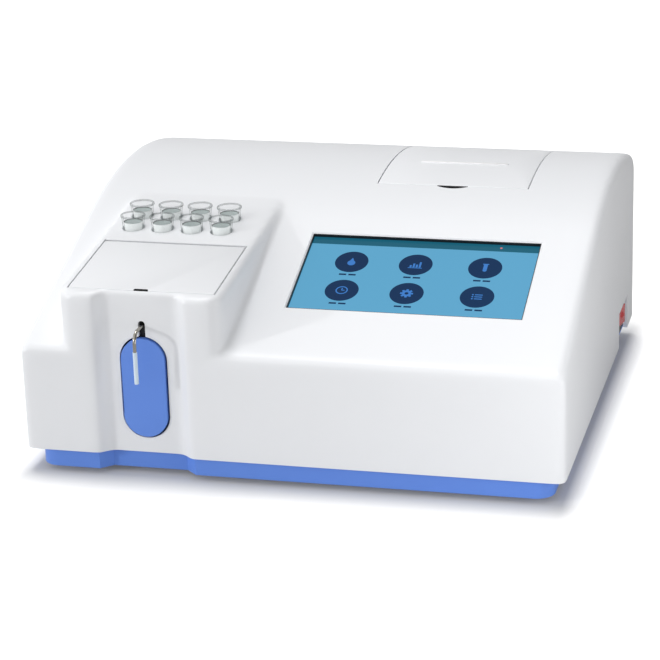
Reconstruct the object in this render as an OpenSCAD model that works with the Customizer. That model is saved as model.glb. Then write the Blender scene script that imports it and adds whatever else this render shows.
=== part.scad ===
// Bench-top chemistry analyzer: a wedge housing on a tray, with a sample block, touch screen and printer.
// Millimetres, +Z up, front towards -Y, origin under the middle of the body on the table.

/* [Body] */
// Width of the white housing
body_w = 350; // [340:1:360]
// Depth of the white housing, front face to rear face
body_d = 330; // [326:1:340]
// Height of the housing's lower rim above the table
lip_z = 16; // [15:0.5:18]
// Height of the fold between the front face and the slope
crease_z = 85.5; // [80:0.5:90]
// Angle of the sloping front panel
slope_deg = 19.3; // [18.5:0.1:20]
// Depth at which the slope turns into the crowned top
slope_run = 141; // [140:1:145]
// Radius of the crowned top
crown_r = 290; // [280:1:300]
// Wall of the housing
wall = 3; // [2.5:0.1:3.5]
// Rounding along the side edges of slope and top
edge_r = 10; // [6:0.5:12]
// Rounding of the vertical corners
corner_r = 12; // [8:0.5:14]
// Rounding of the fold at the front
crease_r = 12; // [8:0.5:14]
// Rounding of the upper rear edge
rear_r = 16; // [10:1:18]

/* [Base] */
// Height of the rubber feet
foot_h = 6; // [5:0.5:8]
// How far the wall of the tray hangs below its floor
skirt_h = 2; // [1:0.5:4]
// Radius of a rubber foot
foot_r = 9; // [7:0.5:11]
// How far the tray stays inside the housing at the sides and rear
tray_inset = 8; // [7:0.5:9]
// How far the tray stays behind the front face
tray_front = 3; // [2.5:0.5:4]
// Floor and wall of the tray
tray_wall = 2.5; // [2:0.1:3]
// Radius of the screw posts in the tray
post_r = 5; // [4.5:0.1:5.5]
// Radius of the base screw's shank
screw_r = 1.75; // [1.5:0.05:2]

/* [Sample block] */
// Distance of the block from the left side of the housing
block_side = 27; // [25:0.5:28]
// Width of the sample block
block_w = 108; // [107:0.5:110]
// Height of the block's top at the front plane
block_z = 123; // [121:0.5:125]
// Tilt of the block's top
block_tilt = 6.5; // [6:0.1:7]
// Rounding of the block's side edges
block_edge_r = 6; // [4:0.5:7]
// Rounding of the block's front edge
block_front_r = 8; // [6:0.5:8]
// Width of the flat floor of the front recess
recess_w = 47; // [45:0.5:50]
// Width of each slanted side of the recess
recess_flare = 7.5; // [6:0.5:9]
// Depth of the recess
recess_d = 7; // [6:0.25:7.5]

/* [Cell lid] */
// Width of the flow cell lid
lid_w = 96; // [94:0.5:96]
// Front edge of the lid along the block's top
lid_front = 9.5; // [9:0.5:11]
// Length of the lid along the block's top
lid_len = 72.5; // [70:0.5:73]
// Thickness of lid and printer cover
lid_t = 3; // [2.5:0.1:3]
// Gap round the lid and the printer cover
lid_gap = 0.6; // [0.4:0.1:0.6]
// Gap behind the hinged edges
hinge_gap = 2.6; // [2.5:0.1:3]
// Distance of the hinge rods from the hinged edge and below the surface
hinge_in = 5; // [4.8:0.1:5.2]
// Radius of the hinge rods
rod_r = 1.2; // [1:0.05:1.3]
// Running clearance on rods and shafts
run_gap = 0.3; // [0.25:0.01:0.35]
// Width of the finger slot in the lid
slot_w = 9; // [7:0.5:12]

/* [Cups] */
// Radius of the body of a sample cup
cup_r = 7; // [6.5:0.1:7.2]
// Radius of a sample cup under its rim
cup_top_r = 8; // [7.8:0.1:8.4]
// Height of the widening top of a sample cup
cup_flare = 9; // [8:0.5:10]
// Height of a sample cup
cup_h = 35; // [33:0.5:37]
// Wall of a sample cup
cup_wall = 1; // [0.8:0.1:1.2]
// How far the cups stand above the block
cup_proud = 9; // [8:0.5:10]
// How far the cups stand left of the block's middle
cup_off = 5.5; // [4:0.5:6]
// Spacing of the cups in a row
cup_pitch = 20.3; // [19.5:0.1:21]
// Spacing of the two rows
row_pitch = 20; // [19.5:0.5:21]
// Depth of the front row of cups behind the front face
row_d = 105; // [104:0.5:106]

/* [Aspirate key] */
// Width of the key
key_w = 29; // [27:0.5:30]
// Height of the key
key_h = 66; // [64:0.5:67]
// Height of the key's middle above the table
key_z = 60; // [59:0.5:61]
// Gap round the key
key_gap = 1.2; // [1.1:0.1:1.4]
// How far the key stands out of the recess floor
key_proud = 1.5; // [1:0.1:2]
// Width of the probe slot above the key
probe_slot_w = 4.6; // [4:0.1:5]

/* [Probe] */
// Outer radius of the steel probe
probe_r = 1.15; // [1:0.05:1.25]
// Bore radius of the steel probe
probe_bore_r = 0.6; // [0.4:0.05:0.7]
// How far the probe's axis stands in front of the front face
probe_reach = 8; // [7.5:0.5:12]
// Height of the probe where it leaves the slot
probe_z = 101; // [100:0.25:101.5]
// Bend radius of the probe
probe_bend = 7; // [5:0.5:9]
// Height of the lower end of the probe tip
tip_z = 68; // [62:0.5:70]
// Length of the plastic tip sleeve
tip_len = 21; // [18:0.5:22]

/* [Display] */
// Distance of the screen window from the right side of the housing
window_side = 35; // [33:0.5:37]
// Distance of the screen window from the sample block
window_gap = 28; // [26:0.5:30]
// Height of the screen window along the slope
window_h = 80; // [77:0.5:82]
// Middle of the window along the slope
window_s = 94.3; // [93:0.1:95.5]
// Border of the glass behind the window
glass_border = 7; // [6:0.5:8]
// Thickness of the touch glass
glass_t = 1.2; // [1:0.1:1.5]
// Thickness of the display panel
panel_t = 5.5; // [5:0.5:7]

/* [Printer] */
// Width of the printer cover
cover_w = 103; // [101:0.5:105]
// Distance of the cover from the right side of the housing
cover_side = 54.5; // [53:0.5:56]
// Depth of the printer cover
cover_len = 112; // [110:0.5:114]
// Distance of the cover from the rear face
cover_back = 28; // [27:0.5:30]
// Width of the paper
paper_w = 57; // [55:0.5:58]
// Radius of the paper roll
roll_r = 21; // [15:0.5:22]
// Distance of the paper slot behind the cover's front edge
slot_front = 46; // [43:0.5:50]

/* [Power switch] */
// Distance of the switch from the rear face
switch_back = 58; // [56:0.5:60]
// Middle of the switch above the table
switch_z = 31; // [31:0.25:31.5]
// Length of the rocker
rocker_l = 26; // [24:0.5:28]
// Height of the rocker
rocker_h = 14; // [12:0.5:15]
// Tilt of the rocker to either side
rocker_tilt = 8; // [6:0.5:9]

/* [Inside] */
// Height of the light beam above the table
beam_z = 99; // [98.5:0.25:99.5]
// Radius of the filter wheel
wheel_r = 29; // [27:0.5:30]
// Radius of the circle of filters
filter_circle_r = 22; // [21:0.5:22.5]
// Radius of one filter
filter_r = 5; // [4:0.25:5.5]
// Number of filters in the wheel
filter_count = 8; // [6:1:8]
// Radius of the pump's tube track
track_r = 17.5; // [17:0.1:18]
// Radius of the pump tube
tube_r = 1.6; // [1.4:0.05:1.7]
// Radius of a pump roller
roller_r = 3.5; // [3:0.1:3.6]
// Edge length of the fan
fan_w = 60; // [56:1:62]
// Thickness of the fan
fan_t = 15; // [12:1:18]
// Number of fan blades
blade_count = 7; // [5:1:9]
// Width of the main board
board_w = 140; // [120:1:145]
// Width of the power supply
psu_w = 78; // [70:1:82]
// Depth of the power supply
psu_d = 100; // [90:1:105]
// Height of the power supply
psu_h = 40; // [35:1:45]

/* [Hidden] */

$fn = 64;
over = 1;
seam = 0.02;
tall = 220;
housing_white = [0.95, 0.95, 0.97];
tray_blue = [0.36, 0.5, 0.84];
steel = [0.75, 0.76, 0.78];
dark_grey = [0.25, 0.26, 0.28];
board_green = [0.1, 0.4, 0.25];
clear_glass = [0.8, 0.9, 0.95, 0.4];

// Places across and along the body
block_x = block_side + block_w / 2 - body_w / 2;
window_w = body_w / 2 - window_side - window_gap - block_x - block_w / 2;
window_x = body_w / 2 - window_side - window_w / 2;
cover_x = body_w / 2 - cover_side - cover_w / 2;
cover_rear = body_d - cover_back;
cover_front = cover_rear - cover_len;
slot_d = cover_front + slot_front;
switch_d = body_d - switch_back;

// Crown circle, tangent to the slope
crown_d = slope_run + crown_r * sin(slope_deg);
crown_z = slope_at(slope_run) - crown_r * cos(slope_deg);
crown_end = atan2(body_d - crown_d, lip_z - over - crown_z) + over;
slope_len = slope_run / cos(slope_deg);
body_deep = crown_r - (lip_z - crown_z) + 2 * wall;
slope_reach = slope_len + body_deep * tan(slope_deg) + corner_r;
block_drop = block_z - crease_z + corner_r;
block_len = (block_z - crease_z) / (tan(slope_deg) - tan(block_tilt)) + 2 * corner_r;
flare_len = sqrt(recess_flare * recess_flare + recess_d * recess_d);

// Tray
floor_z = foot_h + tray_wall;
foot_in = 35;
foot_end = 30;
foot_x = body_w / 2 - foot_in;
foot_ds = [foot_end, body_d - foot_end];
peg_r = 2.5;
fit_gap = 0.1;
tray_gap = 0.4;
flange_t = 2.5;
boss_in = 15;
boss_end = 18;
boss_x = body_w / 2 - boss_in;
boss_ds = [foot_end, body_d / 2, body_d - boss_end];
boss_r = 4.5;
post_rise = 2;
post_top = lip_z + flange_t + post_rise;
boss_h = 30;
screw_head_r = 3.2;
screw_head_h = 2.2;
screw_len = 28;

// Sample block tub
tub_wall = 2;
tub_in_w = lid_w + 2 * lid_gap;
tub_d0 = recess_d + wall + tray_gap;
tub_d1 = (lid_front + lid_len + hinge_gap) * cos(block_tilt) + hinge_in * sin(block_tilt) + tub_wall;
tub_z = 92;
tub_floor = tub_z + tub_wall;
tub_leg = 8;
ear_r = 3.2;
ear_w = 8;
ear_x = 30;
lid_rod_s = lid_front + lid_len - hinge_in;
rest_w = 20;

// Flow cell and pump
cell_off = 26;
cell_in = 39;
cell_x = block_x - cell_off;
cell_d = tub_d0 + cell_in;
cell_block = [34, 32, 24];
cell_size = 12;
pump_off = 24;
pump_x = block_x + pump_off;
pump_d = tub_d0 + cell_in;
pump_wall = 4.5;
pump_base = 3;
track_h = 14;
roller_gap = 1.3;
disc_edge = 2.5;
roller_circle_r = track_r - 2 * tube_r - roller_gap - roller_r;
rotor_disc_r = roller_circle_r + disc_edge;
disc_t = 2;
roller_h = track_h - 2 * disc_t - 3 * run_gap - over;
rotor_z = tub_floor + pump_base + run_gap;
shaft_r = 2.5;
pump_motor_r = 18;
pump_motor_h = 36;
tube_z = rotor_z + disc_t + run_gap + roller_h / 2;
tube_loop_r = track_r - tube_r - run_gap;
waste_x = pump_x + tube_loop_r;
waste_z = 36;

// Key
pivot_up = 22;
pivot_in = 5;
key_pivot_z = key_z + pivot_up;
key_pivot_d = recess_d + wall + pivot_in;
key_flange = 2;
key_flange_t = 1.5;
key_ear_x = 10;
key_ear_w = 4;
wall_ear_w = 3;
ear_gap = 2;
wall_ear_x = key_w / 2 + key_gap + ear_gap;
key_boss_z = 45;
key_boss_r = 4;
key_boss_d = 20;
key_stroke = 3.6;
switch_size = [6, 10, 20];
switch_button_r = 1.5;
switch_button_l = 2;

// Probe
clamp_len = 12;
clamp_w = 14;
probe_tail = 4;
probe_in = tub_d0 + tub_wall + clamp_len + probe_tail;
tip_wall = 0.25;
rear_reach = probe_reach + probe_r + tip_wall;

// Incubator
well_gap = 0.3;
incubator_side = 4;
incubator_end = 5.5;
incubator_w = 3 * cup_pitch + 2 * cup_r + 2 * incubator_side;
incubator_d = row_pitch + 2 * cup_r + 2 * incubator_end;
incubator_d0 = row_d - cup_r - incubator_end;
incubator_floor = 3.5;
cup_z0 = block_at(row_d) + cup_proud - cup_h;
incubator_z = cup_z0 - incubator_floor;
incubator_top = block_at(incubator_d0) - wall / cos(block_tilt) - over;
rack_edge = 5;
rack_w = 3 * cup_pitch + 2 * cup_r + 2 * rack_edge;
rack_len = row_pitch + 2 * cup_r + 2 * rack_edge;
rack_s = (row_d + row_pitch / 2) / cos(block_tilt);
pillar_xs = [-36, 28];
pillar_r = 4;
pillar_in = 6;

// Optics
bench_left = 32;
bench_x0 = cell_x - bench_left;
bench_w = 90;
bench_d0 = incubator_d0;
bench_len = 158;
bench_t = 4;
wheel_room = 4;
bench_z = beam_z - filter_circle_r - wheel_r - wheel_room;
bench_leg_r = 5;
leg_in = 3;
wheel_z = beam_z - filter_circle_r;
wheel_off = 7;
wheel_d = incubator_d0 + incubator_d + wheel_off;
wheel_t = 4;
bracket_t = 3;
bracket_off = 5;
bracket_side = 2;
bracket_d = wheel_d + wheel_t + bracket_off;
motor_w = 35;
motor_len = 26;
lens_gap = 6;
lens_d = bracket_d + bracket_t + motor_len + lens_gap;
lens_r = 8;
lens_t = 6;
lens_side = 9;
lamp_gap = 8;
lamp_d = lens_d + lens_t + lamp_gap;
lamp_w = 40;
lamp_over = 22;
lamp_h = beam_z - bench_z + lamp_over;

// Display
display_screw_in = 8;
display_screw_dx = window_w / 2 + glass_border + display_screw_in;
display_screw_ds = window_h / 2 - display_screw_in;
display_boss_r = 4;
display_screw_r = 1.5;
display_head_r = 3;
display_head_h = 2;
glass_w = window_w + 2 * glass_border;
glass_h = window_h + 2 * glass_border;
bracket_sheet = 1.5;
bezel = 10;

// Printer
tub_x0 = cover_x - cover_w / 2 - lid_gap - tub_wall - over;
printer_tub_w = cover_w + 2 * lid_gap + 2 * tub_wall + 2 * over;
printer_lap = 4;
printer_d0 = cover_front - printer_lap;
printer_d1 = cover_rear + hinge_gap + tub_wall + over;
printer_z = 92;
printer_floor = printer_z + tub_wall;
cover_a0 = asin((cover_front - crown_d) / crown_r);
cover_a1 = asin((cover_rear - crown_d) / crown_r);
gap_deg = lid_gap / crown_r * 180 / PI;
hinge_gap_deg = hinge_gap / crown_r * 180 / PI;
cover_rod_a = cover_a1 - hinge_in / crown_r * 180 / PI;
roll_off = 28;
roll_d = slot_d + roll_off;
roll_z = printer_floor + roll_r + well_gap;
core_r = 6;
mech_off = 36;
mech_d = slot_d - mech_off;
mech_len = 30;
cheek_t = 4;
cheek_gap = 2;
mech_w = paper_w + 2 * cheek_t + 2 * cheek_gap;
platen_r = 5;
platen_in = 8;
platen_up = 34;
platen_d = mech_d + mech_len - platen_in;
platen_z = printer_floor + platen_up;
cheek_h = 42;
platen_motor_r = 10;
platen_motor_l = 14;
scoop_r = 20;
scoop_depth = 3.2;
lip_h = 0.8;
slot_open = 1.6;
slot_side = 1.5;
bar_side = 2;

// Rear
panel_t2 = 1.5;
panel_edge = 25;
panel_open_w = body_w - 2 * panel_edge;
panel_z0 = 24;
panel_h = 80;
panel_side = 8;
panel_lap = 5;
panel_screw_dx = panel_open_w / 2 + panel_side / 2;
panel_d = body_d - wall - panel_t2;
fan_x = cell_x;
fan_z = panel_z0 + panel_h / 2;
fan_bore_r = fan_w / 2 - 2;
hub_r = 12;
inlet_in = 55;
inlet_x = body_w / 2 - inlet_in;
inlet_z = 68;
inlet_size = [27, 26, 20];
inlet_flange = [48, 2.5, 24];
port_x = 10;
port_z = 56;

// Switch
frame_wall = 2;
frame_flange = 3;
frame_t = 2;
frame_depth = 18;
rocker_end_gap = 1.3;
switch_out = body_w / 2 - wall;
cavity_l = rocker_l + 2 * rocker_end_gap;
cavity_h = rocker_h + 2 * run_gap;
frame_l = cavity_l + 2 * frame_wall;
frame_h = cavity_h + 2 * frame_wall;
rocker_in = 6;
rocker_axis_x = switch_out - rocker_in;
rocker_out = 6.2;
rocker_rise = 0.8;
rocker_pin_r = 1.5;
tab_t = 2.5;
tab_side = 5;
blade = [8, 6, 0.8];
notch_side = 3;
notch_w = frame_l + 2 * frame_flange + 2 * notch_side;
notch_top = switch_z + frame_h / 2 + over;

// Small sizes of the inside
board_t = 1.6;
board_z = 15;
board_x0 = -18;
board_d0 = 32;
board_gap = 24;
board_d = printer_d0 - board_gap - board_d0;
board_in = 6;
board_post_r = 3.5;
chip_w = 16;
chip_h = 3;
cap_r = 5;
cap_h = 14;
header_l = 40;
header_at = 0.2;
psu_gap = 6;
psu_d0 = printer_d0 + tub_leg + psu_gap;
vent_pitch = 7;
vent_w = 3;
vent_share = 0.6;
strut_t = 2;
strut_w = 5;
fan_pin_r = 1.5;
blade_pitch = 40;
blade_t = 1.6;
blade_share = 0.7;
grille_rings = 3;
grille_pitch = fan_bore_r / (grille_rings + 0.5);
grille_r = 2.6;
inlet_well = 16;
inlet_pin_x = 7;
inlet_pin = [2, 12, 4];
port_pitch = 40;
port_sizes = [[31, 18, 12.5], [12, 18, 11]];
port_out = 5;
waste_gap = 6;
waste_d = tub_d1 - tub_wall - waste_gap;
waste_in = 14;
waste_barb_r = 2.5;
waste_body_r = 3.8;
waste_collar = 3;
waste_collar_r = 6;
waste_bore_r = 1.2;
beam_r = 3;
cell_floor = 3;
cell_cap = 16;
cap_t = 3;
sensor_l = 4;
sensor_r = 4.5;
detector_w = 24;
port_dd = 8;
shaft_in = 10;
roller_pin_r = 1.2;
hub_wheel_r = 7;
hub_wheel_l = 4;
lens_off = 12;
lamp_base = 14;
bulb_r = 5;
bulb_l = 22;
cup_rim = 1.2;
cup_floor = 1.5;
rest_len = 3;
slot_in = 0.5;
slot_open_w = 3;
head_gap = 1;
head_t = 3;
platen_shaft_r = 1.7;
start_d = key_boss_d + key_stroke + switch_button_l;

function slope_at(d) = crease_z + d * tan(slope_deg);
function block_at(d) = block_z + d * tan(block_tilt);
function half_at(d, t) = recess_w / 2 + recess_flare * (1 - d / recess_d) + t * flare_len / recess_d;
function cup_x(i) = block_x - cup_off + (i % 4 - 1.5) * cup_pitch;
function cup_d(i) = row_d + floor(i / 4) * row_pitch;
function cup_z(i) = cup_z0 + floor(i / 4) * row_pitch * tan(block_tilt);

module at(x, d, z) {
    translate([x, d - body_d / 2, z]) children();
}

module on_slope(x, s, n) {
    at(x, 0, crease_z) rotate([slope_deg, 0, 0]) translate([0, s, n]) children();
}

module on_block(x, s, n) {
    at(block_x + x, 0, block_z) rotate([block_tilt, 0, 0]) translate([0, s, n]) children();
}

module on_crown(x, a, n) {
    at(x, crown_d, crown_z) rotate([-a, 0, 0]) translate([0, 0, crown_r + n]) children();
}

// Box centred on x and d, standing on z
module box(size) {
    translate([-size[0] / 2, -size[1] / 2, 0]) cube(size);
}

module rod_x(r, l) {
    rotate([0, 90, 0]) cylinder(r = r, h = l);
}

module rod_y(r, l) {
    rotate([-90, 0, 0]) cylinder(r = r, h = l);
}

// Outline in depth and height, drawn out along x
module along_x(w) {
    translate([0, -body_d / 2, 0]) rotate([90, 0, 90]) linear_extrude(w, center = true) children();
}

// Outline in x and height, drawn out along depth
module along_d(d, len) {
    translate([0, d + len - body_d / 2, 0]) rotate([90, 0, 0]) linear_extrude(len) children();
}

// Sector of the crown between two angles, from a 2D section of radius and x
module crown_sector(a0, a1) {
    at(0, crown_d, crown_z) rotate([-a0, 0, 0]) rotate([0, -90, 0]) rotate_extrude(angle = a1 - a0, $fn = 180)
        children();
}

// What a rounding takes off a square corner at the origin
module edge_section(r) {
    difference() {
        translate([-r, -r]) square([r + over, r + over]);
        translate([-r, -r]) circle(r);
    }
}

// What a rounding takes off the corner between an upright line and a rising line
module fold_section(d0, z0, angle, r) {
    c = [d0 + r, z0 + r * tan(angle) - r / cos(angle) + seam];
    out = r + over;
    difference() {
        polygon([[d0 - over, c[1]], [d0 - over, z0 + r],
            [c[0] - out * sin(angle), c[1] + out * cos(angle)], c]);
        translate(c) circle(r);
    }
}

// What the rounding of the upper rear edge takes off
module rear_section(t) {
    r = rear_r - t;
    reach = crown_r - rear_r;
    c = [body_d - rear_r, crown_z + sqrt(pow(reach, 2) - pow(body_d - rear_r - crown_d, 2))];
    up = [(c[0] - crown_d) / reach, (c[1] - crown_z) / reach];
    top = c + (r + over) * up;
    difference() {
        polygon([c, top, [body_d - t + over, top[1]], [body_d - t + over, c[1]]]);
        translate(c) circle(r);
    }
}

// Outline across the body: flat top with two rounded corners
module body_section(t) {
    half = body_w / 2 - t;
    difference() {
        translate([-half, -body_deep]) square([2 * half, body_deep - t]);
        for (m = [0, 1]) mirror([m, 0]) translate([half, -t]) edge_section(edge_r - t);
    }
}

// Body shape a thickness t inside the outer faces, above the height low
module body_form(t, low) {
    half = body_w / 2 - t;
    fold_z = crease_z - t / cos(slope_deg) + t * tan(slope_deg);
    difference() {
        intersection() {
            at(0, crown_d, crown_z) rotate([slope_deg, 0, 0]) union() {
                translate([0, 0, crown_r]) rotate([90, 0, 0]) linear_extrude(slope_reach) body_section(t);
                rotate([0, -90, 0]) rotate_extrude(angle = slope_deg + crown_end, $fn = 180)
                    translate([crown_r, 0]) rotate(-90) body_section(t);
            }
            translate([-body_w / 2 - over, t - body_d / 2, low])
                cube([body_w + 2 * over, body_d - 2 * t, tall]);
        }
        along_x(body_w + over) fold_section(t, fold_z, slope_deg, crease_r - t);
        along_x(body_w + over) rear_section(t);
        for (m = [0, 1], k = [0, 1]) mirror([m, 0, 0]) mirror([0, k, 0])
            translate([half, body_d / 2 - t, low - over]) linear_extrude(tall) edge_section(corner_r - t);
    }
}

module block_form(t, edge) {
    half = block_w / 2 - t;
    difference() {
        on_block(0, block_len, 0) rotate([90, 0, 0]) linear_extrude(block_len + corner_r) difference() {
            translate([-half, -block_drop]) square([2 * half, block_drop - t]);
            if (edge > 0) for (m = [0, 1]) mirror([m, 0]) translate([half, -t]) edge_section(edge);
        }
        at(block_x, t - 2 * corner_r - over, 0) translate([-block_w, 0, 0])
            cube([2 * block_w, 2 * corner_r + over, tall]);
        translate([block_x, 0, 0]) along_x(block_w + over)
            fold_section(t, block_at(t) - t / cos(block_tilt), block_tilt, block_front_r - t);
        for (m = [0, 1]) translate([block_x, 0, 0]) mirror([m, 0, 0]) at(half + seam, t - seam, 0)
            mirror([0, 1, 0]) linear_extrude(tall) edge_section(corner_r - t);
    }
}

// The front recess, grown by t on its floor and sides
module recess(t) {
    deep = recess_d + t;
    at(block_x, 0, 0) linear_extrude(tall)
        polygon([[-half_at(-over, t), -over], [half_at(-over, t), -over], [half_at(deep, t), deep],
            [-half_at(deep, t), deep]]);
}

module capsule(w, h) {
    for (k = [-1, 1]) translate([0, k * (h - w) / 2]) circle(w / 2);
    square([w, h - w], center = true);
}

module housing_shell() {
    difference() {
        union() {
            body_form(0, lip_z);
            block_form(0, block_edge_r);
        }
        recess(0);
        difference() {
            union() {
                body_form(wall, lip_z - over);
                block_form(wall, 0);
            }
            recess(wall);
        }
    }
}

module housing_bosses() {
    for (m = [0, 1], d = boss_ds) mirror([m, 0, 0]) {
        at(boss_x, d, post_top) cylinder(r = boss_r, h = boss_h);
        at(boss_x, d - wall / 2, post_top) cube([body_w / 2 - wall / 2 - boss_x, wall, boss_h]);
    }
    display_screw_places() cylinder(r = display_boss_r, h = glass_t + panel_t + wall / 2);
    ear_len = key_pivot_d - recess_d - wall / 2 + ear_r;
    for (m = [-1, 1]) at(block_x + m * wall_ear_x, recess_d + wall / 2 + ear_len / 2, key_pivot_z - ear_r)
        box([wall_ear_w, ear_len, 2 * ear_r]);
}

module upper_housing() {
    color(housing_white) difference() {
        union() {
            housing_shell();
            housing_bosses();
        }
        on_slope(window_x, window_s, -2 * wall) box([window_w, window_h, 3 * wall]);
        on_block(0, lid_front - lid_gap, -2 * wall) translate([-tub_in_w / 2, 0, 0])
            cube([tub_in_w, lid_len + lid_gap + hinge_gap, 3 * wall]);
        on_block(-cup_off, rack_s, -2 * wall) box([rack_w + 2 * fit_gap, rack_len + 2 * fit_gap, 3 * wall]);
        translate([block_x, 0, key_z]) along_d(recess_d - wall, 3 * wall) {
            capsule(key_w + 2 * key_gap, key_h + 2 * key_gap);
            slot_h = probe_z - key_z + probe_slot_w / 4;
            translate([-probe_slot_w / 2, 0]) square([probe_slot_w, slot_h]);
            translate([0, slot_h]) circle(probe_slot_w / 2);
        }
        at(block_x - body_w / 8, key_pivot_d, key_pivot_z) rod_x(rod_r + fit_gap, body_w / 4);
        crown_sector(cover_a0 - gap_deg, cover_a1 + hinge_gap_deg)
            translate([crown_r - 2 * wall, -cover_x - cover_w / 2 - lid_gap])
            square([3 * wall, cover_w + 2 * lid_gap]);
        on_crown(cover_x, cover_a0 - gap_deg, -2 * wall) translate([0, scoop_r - scoop_depth, 0])
            cylinder(r = scoop_r, h = 3 * wall);
        at(0, body_d - 2 * wall, panel_z0) translate([-panel_open_w / 2, 0, 0])
            cube([panel_open_w, 3 * wall, panel_h]);
        for (m = [-1, 1], z = panel_screw_zs()) at(m * panel_screw_dx, body_d - 2 * wall, z)
            rod_y(screw_r + fit_gap, 3 * wall);
        at(body_w / 2 - 2 * wall, switch_d - notch_w / 2, lip_z - over) cube([3 * wall, notch_w,
            notch_top - lip_z + over]);
        for (m = [-1, 1], d = boss_ds) at(m * boss_x, d, post_top - over)
            cylinder(r = screw_r + fit_gap, h = boss_h - over);
        display_screw_places() translate([0, 0, -over])
            cylinder(r = display_screw_r + fit_gap, h = panel_t + over);
    }
}

function panel_screw_zs() = [panel_z0 + panel_side, panel_z0 + panel_h / 2, panel_z0 + panel_h - panel_side];

module display_screw_places() {
    for (m = [-1, 1], k = [-1, 1])
        on_slope(window_x + m * display_screw_dx, window_s + k * display_screw_ds, -wall - glass_t - panel_t)
            children();
}

// Plan of the tray with its recess, drawn in by t
module tray_form(t, z0, z1) {
    half = body_w / 2 - tray_inset - t;
    len = body_d - tray_front - tray_inset - 2 * t;
    difference() {
        at(0, tray_front + t + len / 2, z0) box([2 * half, len, z1 - z0]);
        for (m = [0, 1]) mirror([m, 0, 0]) {
            at(half, tray_front + t + len, z0 - over) linear_extrude(tall) edge_section(corner_r - t);
            at(half, tray_front + t, z0 - over) mirror([0, 1, 0])
                linear_extrude(tall) edge_section(corner_r - t);
        }
        recess(tray_front + t);
    }
}

module tray_flange() {
    half = body_w / 2 - wall - tray_gap;
    len = body_d - 2 * wall - 2 * tray_gap;
    difference() {
        at(0, body_d / 2, lip_z) box([2 * half, len, flange_t]);
        for (m = [0, 1], k = [0, 1]) mirror([m, 0, 0]) mirror([0, k, 0])
            translate([half, len / 2, lip_z - over])
            linear_extrude(flange_t + 2 * over) edge_section(corner_r - wall);
        recess(wall + tray_gap);
    }
}

module base_tray() {
    color(tray_blue) difference() {
        union() {
            difference() {
                union() {
                    tray_form(0, foot_h - skirt_h, lip_z + fit_gap);
                    tray_flange();
                }
                tray_form(tray_wall, floor_z, tall);
                tray_form(tray_wall, 0, foot_h);
            }
            for (m = [-1, 1], d = boss_ds) at(m * boss_x, d, foot_h)
                cylinder(r = post_r, h = post_top - foot_h);
            board_places() translate([0, 0, foot_h]) cylinder(r = board_post_r, h = board_z - foot_h);
            at(switch_out - frame_t - tab_t / 2, switch_d, lip_z)
                box([tab_t, frame_l + 2 * tab_side, notch_top + frame_flange - lip_z]);
            at(block_x, start_d + switch_size[1] + tray_wall / 2, foot_h)
                box([2 * switch_size[0], tray_wall, key_boss_z + switch_size[2] / 2 - foot_h]);
        }
        for (m = [-1, 1], d = boss_ds) at(m * boss_x, d, foot_h - over) {
            cylinder(r = screw_r + fit_gap, h = tall);
            cylinder(r = screw_head_r + fit_gap, h = screw_head_h + over);
        }
        for (m = [-1, 1], d = foot_ds) at(m * foot_x, d, foot_h - over)
            cylinder(r = peg_r + fit_gap, h = 2 * floor_z);
        at(switch_out - frame_t - tab_t / 2, switch_d, switch_z - frame_h / 2 - fit_gap)
            box([2 * tab_t, frame_l + 2 * fit_gap, frame_h + 2 * fit_gap]);
    }
}

module rubber_feet() {
    color(dark_grey) for (m = [-1, 1], d = foot_ds) at(m * foot_x, d, 0) {
        cylinder(r = foot_r, h = foot_h);
        cylinder(r = peg_r, h = floor_z);
    }
}

// Screws of the base and of the rear panel
module case_screws() {
    color(steel) for (m = [-1, 1], d = boss_ds) at(m * boss_x, d, foot_h) {
        cylinder(r = screw_head_r, h = screw_head_h);
        cylinder(r = screw_r, h = screw_len);
    }
    color(steel) for (m = [-1, 1], z = panel_screw_zs()) at(m * panel_screw_dx, panel_d - over, z) {
        rod_y(screw_r, wall + panel_t2 + over);
        translate([0, wall + panel_t2 + over, 0]) rod_y(screw_head_r, screw_head_h);
    }
}

module rear_panel() {
    color(steel) difference() {
        at(0, panel_d + panel_t2 / 2, panel_z0 - panel_lap)
            box([panel_open_w + 2 * panel_side, panel_t2, panel_h + 2 * panel_lap]);
        for (m = [-1, 1], z = panel_screw_zs()) at(m * panel_screw_dx, panel_d - over, z)
            rod_y(screw_r + fit_gap, panel_t2 + 2 * over);
        at(fan_x, panel_d - over, fan_z) for (ring = [1:grille_rings], i = [0:6 * ring - 1])
            rotate([0, i * 60 / ring, 0])
            translate([ring * grille_pitch, 0, 0]) rod_y(grille_r, panel_t2 + 2 * over);
        at(inlet_x, panel_d, inlet_z - inlet_size[2] / 2 - fit_gap)
            box([inlet_size[0] + 2 * fit_gap, 4 * panel_t2, inlet_size[2] + 2 * fit_gap]);
        for (k = [0, 1]) at(port_x + k * port_pitch, panel_d, port_z - port_sizes[k][2] / 2 - fit_gap)
            box([port_sizes[k][0] + 2 * fit_gap, 4 * panel_t2, port_sizes[k][2] + 2 * fit_gap]);
        at(waste_x, panel_d - over, waste_z) rod_y(waste_body_r + fit_gap, panel_t2 + 2 * over);
    }
}

// Hinge ear round a rod at the origin, joined to a plate above it
module hinge_ear(up) {
    translate([-ear_w / 2, 0, 0]) rod_x(ear_r, ear_w);
    box([ear_w, 2 * ear_r, up]);
}

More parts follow.
